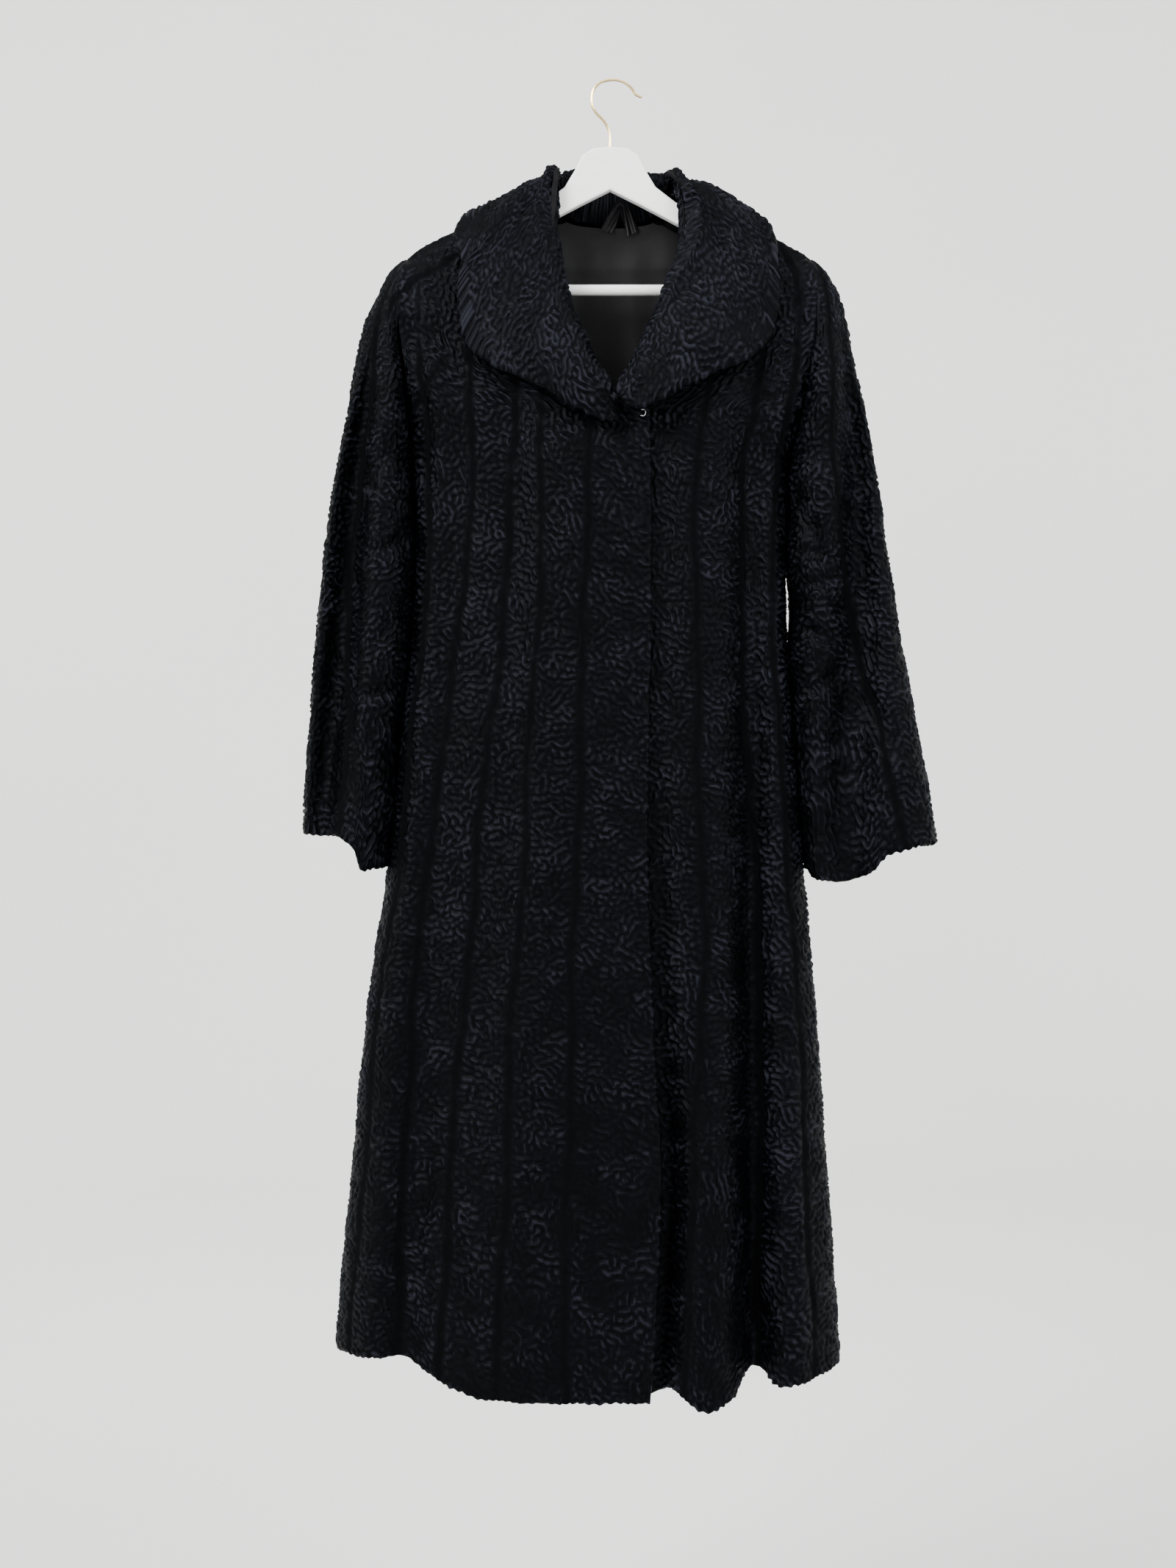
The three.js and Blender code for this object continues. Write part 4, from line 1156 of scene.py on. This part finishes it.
def make_sleeves():
    right, left = (RIGHT_SLEEVE, RIGHT_CUFF), (LEFT_SLEEVE, LEFT_CUFF)
    shoulder = (SHOULDER_BAND,)
    make_sleeve("sleeve_right_front", *right, RIGHT_SLEEVE_BANDS, -1, -1, 2.1, 61, shoulder)
    make_sleeve("sleeve_left_front", *left, LEFT_SLEEVE_BANDS, 1, -1, 2.1, 83)
    make_sleeve("sleeve_right_back", *right, SLEEVE_BACK_BANDS, -1, 1, 2.8, 97)
    make_sleeve("sleeve_left_back", *left, SLEEVE_BACK_BANDS, 1, 1, 2.8, 113)


def collar_grid():
    """The collar's outer surface as a fine grid, how far down and across its rows and columns
    lie, and how far down it turns over."""
    sections = collar_sections()
    profile_at = mean_steps(sections)
    length_at = mean_steps(np.swapaxes(sections, 0, 1))
    spacing = COLLAR_SPACING * SPREAD
    down = np.linspace(0, profile_at[-1] - COLLAR_ROLL, int(profile_at[-1] / spacing) + 1)
    count = int(length_at[-1] * COLLAR_EDGE_SHARE / spacing) + 1
    across = np.linspace(COLLAR_ROLL, length_at[-1] - COLLAR_ROLL, count)
    points = resampled(sections, profile_at, down)
    points = np.swapaxes(resampled(np.swapaxes(points, 0, 1), length_at, across), 0, 1)
    roll_middle = 2 + ROLL_STEPS // 2
    return points, down, across, profile_at[roll_middle]


def depth_from_roll(points, down, roll_at):
    """How far down the cloth each point lies, measured from the roll on its own column."""
    roll_row = np.argmin(np.abs(down - roll_at))
    steps = np.linalg.norm(np.diff(points, axis=0), axis=-1)
    depth = np.concatenate([np.zeros((1, points.shape[1])), np.cumsum(steps, axis=0)])
    return depth + (down[roll_row] - depth[roll_row])


def make_collar():
    points, down, across, roll_at = collar_grid()
    lower_edge = smooth_step(down[-1] - COLLAR_RIPPLE, down[-1], down)[:, None, None]
    outward = unit(points[-1] - points[-5]) * (2 * ripple(across) - 1)[:, None]
    points = points + RIPPLE * outward * lower_edge
    normals = grid_normals(points, 1)
    along = np.broadcast_to(across, points.shape[:2])
    depth = depth_from_roll(points, down, roll_at)
    down_t = down / down[-1]
    relief = fur_relief(down, along, [], down_t, COLLAR_LEANS, COLLAR_SWIRL, 131, depth)
    fine = points - normals * (CURL_DEPTH * (1 - relief) - FUR_LIFT)[..., None]
    under = thinned(points - normals * COLLAR_WALL, *COLLAR_INNER_GRID)
    # The ridge height is kept to paint highlight and shade into the fur's colour
    looks = np.stack([relief, 0 * relief], axis=-1)
    radii = (COLLAR_ROLL, COLLAR_ROLL, SEAM_ROLL, COLLAR_ROLL)
    finish_fur("collar", fine, normals, looks, radii, under, 1)


# Lining, ribbon, hook and eye


def make_lining():
    """Satin inside the back, with the soft hanging folds that show through the neck."""
    rows, columns = LINING_GRID
    down = np.linspace(0, 1, rows)[:, None]
    across = np.linspace(-1, 1, columns)[None, :]
    x = across * mix(LINING_TOP_HALF, LINING_HALF, smooth_step(*LINING_WIDENING, down))
    neck = np.maximum(value_at(BACK_NECK, x, "neck", "x"), LINING_TOP_DROP)
    drop = mix(neck + LINING_CLEAR, LINING_DROP, down**LINING_CLOSENESS)
    points = body_point(1, drop, angle_of_x(drop, x))
    points[..., 1] -= WALL + LINING_CLEAR
    folds = sum(deep * np.cos(x / width + lean * down) for deep, width, lean in LINING_FOLDS)
    points[..., 1] += folds * smooth_step(*LINING_FOLD_START, down) - LINING_SINK
    lining = mesh_piece("back_lining_satin", points, -1, SATIN)
    cloth(lining, "back_lining")


def evenly_along(path, steps):
    """Points at equal steps along a path of x, y and z, and how far along it they lie."""
    path = np.array(path, float)
    keys = np.concatenate([[0], np.cumsum(np.linalg.norm(np.diff(path, axis=0), axis=1))])
    places = np.linspace(0, keys[-1], steps)
    return resampled(path, keys, places), places


def make_ribbon():
    """Ribbon loop at the top of the lining, gathered where it turns and folded lengthwise."""
    steps, columns = RIBBON_GRID
    line, places = evenly_along(RIBBON_PATH, steps)
    way = unit(np.gradient(line, axis=0))
    aside = unit(np.cross(way, np.array([0.0, 1.0, 0.0])))
    share = np.linspace(-1, 1, columns)[None, :]
    gather = mix(RIBBON_GATHER, 1, np.abs(2 * places / places[-1] - 1))[:, None]
    spread = RIBBON_HALF * gather * share
    points = line[:, None, :] + aside[:, None, :] * spread[..., None]
    deep, lengthwise, wave = RIBBON_FOLDS
    points[..., 1] += deep * np.cos(share * lengthwise + places[:, None] / wave)
    ribbon = mesh_piece("ribbon_loop", points, 1, RIBBON)
    cloth(ribbon, "hanging_loop")


def wire_piece(name, path, radius, material):
    """Thin round wire along a path of x, y and z."""
    line, _ = evenly_along(path, WIRE_STEPS)
    way = unit(np.gradient(line, axis=0))
    aside = unit(np.cross(way, np.array([0.13, 1.0, 0.21])))
    up = np.cross(way, aside)
    turn = np.linspace(0, 2 * math.pi, WIRE_SIDES + 1)[None, :, None]
    points = line[:, None] + radius * (aside[:, None] * np.cos(turn) + up[:, None] * np.sin(turn))
    piece = mesh_piece(name, points, 1, material)
    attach(piece, "root")


def make_hook_and_eye():
    """Small metal hook and its eye at the top of the front edge, under the collar's end."""
    steel = metal_material("steel_wire", (0.55, 0.55, 0.56), 0.25)
    wire_piece("fastener_hook", FASTENER_HOOK, 0.55, steel)
    wire_piece("fastener_eye", FASTENER_EYE, 0.5, steel)


# Hanger

SHARP_ANGLE = math.radians(40)


def finish_hanger():
    """The hanger's own solids are shown, with their paint and brass."""
    paint = toned_material(
        "white_paint", (60, 2, (0.3, 1, 1)), (0.90, 0.895, 0.88), (0.94, 0.935, 0.92),
        {"Roughness": 0.38}, (0.05, 0.0003),
    )
    brass = metal_material("brass_hook", (0.72, 0.55, 0.27), 0.26)
    for part, material in (("wood", paint), ("bar", paint), ("hook", brass)):
        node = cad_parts["hanger_" + part]
        node.data.materials.clear()
        node.data.materials.append(material)
        node.data.shade_smooth()
        split = node.modifiers.new("sharp edges", "EDGE_SPLIT")
        split.split_angle = SHARP_ANGLE


def hide_replaced():
    for name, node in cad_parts.items():
        if not name.startswith("hanger_"):
            node.hide_render = True
            node.hide_viewport = True


# Stage: one pale bowl with a flat floor, wide enough for the camera to stand in

FLOOR_DROP = 1.78
BOWL_RADIUS = 5.2
BOWL_HEIGHT = 7.0
BOWL_CORNER, BOWL_CORNER_STEPS = 1.6, 12
BOWL_SIDES = 96


def make_bowl():
    profile = [(0.0, -FLOOR_DROP), (BOWL_RADIUS - BOWL_CORNER, -FLOOR_DROP)]
    for k in range(1, BOWL_CORNER_STEPS + 1):
        angle = math.pi / 2 * k / BOWL_CORNER_STEPS
        radius = BOWL_RADIUS - BOWL_CORNER * (1 - math.sin(angle))
        profile.append((radius, -FLOOR_DROP + BOWL_CORNER * (1 - math.cos(angle))))
    profile.append((BOWL_RADIUS, BOWL_HEIGHT))
    turn = np.linspace(0, 2 * math.pi, BOWL_SIDES + 1)
    points = np.array(
        [[(r * math.cos(a), r * math.sin(a), z) for a in turn] for r, z in profile]
    )
    made = toned_material(
        "pale_studio", (0.7, 2), (0.79, 0.79, 0.785), (0.83, 0.83, 0.825), {"Roughness": 0.9}
    )
    mesh_piece("studio_bowl", points * METRE, -1, made)


CHEST = (0, 0, -0.2)
LIGHTS = (
    ("key", (-2.3, -2.4, 1.6), CHEST, (1.8, 1.8), 275, (1.0, 0.99, 0.98)),
    ("fill", (2.6, -2.3, 1.1), CHEST, (1.8, 1.8), 120, (0.97, 0.98, 1.0)),
    ("top", (0.0, -0.9, 2.6), CHEST, (2.4, 2.4), 55, (1.0, 1.0, 1.0)),
    ("wall", (-0.6, 1.2, 1.9), (-0.3, 5.0, -0.2), (2.6, 1.2), 150, (1.0, 1.0, 0.99)),
)
WORLD_COLOUR, WORLD_STRENGTH = (0.95, 0.95, 0.94, 1), 0.8


def area_light(name, place, target, size, power, colour):
    data = bpy.data.lights.new(name, "AREA")
    data.shape = "RECTANGLE"
    data.size, data.size_y = size
    data.energy = power
    data.color = colour
    light = bpy.data.objects.new(name, data)
    light.location = place
    way = Vector(target) - Vector(place)
    light.rotation_mode = "QUATERNION"
    light.rotation_quaternion = way.to_track_quat("-Z", "Y")
    bpy.context.scene.collection.objects.link(light)


def make_lights():
    for light in LIGHTS:
        area_light(*light)
    world = bpy.data.worlds.new("studio")
    world.use_nodes = True
    background = world.node_tree.nodes["Background"]
    background.inputs["Color"].default_value = WORLD_COLOUR
    background.inputs["Strength"].default_value = WORLD_STRENGTH
    bpy.context.scene.world = world


CAMERA_PLACE = (-0.0228, -2.3, -0.726)
CAMERA_LENS, SENSOR_WIDTH = 51.08, 36


def make_camera():
    data = bpy.data.cameras.new("camera")
    data.sensor_width = SENSOR_WIDTH
    data.lens = CAMERA_LENS
    data.sensor_fit = "AUTO"
    camera = bpy.data.objects.new("camera", data)
    camera.location = CAMERA_PLACE
    camera.rotation_euler = (math.pi / 2, 0, 0)
    bpy.context.scene.collection.objects.link(camera)
    bpy.context.scene.camera = camera


make_camera()
make_lights()
make_bowl()
make_fronts()
make_back()
make_sleeves()
make_collar()
make_lining()
make_ribbon()
make_hook_and_eye()
finish_hanger()
hide_replaced()
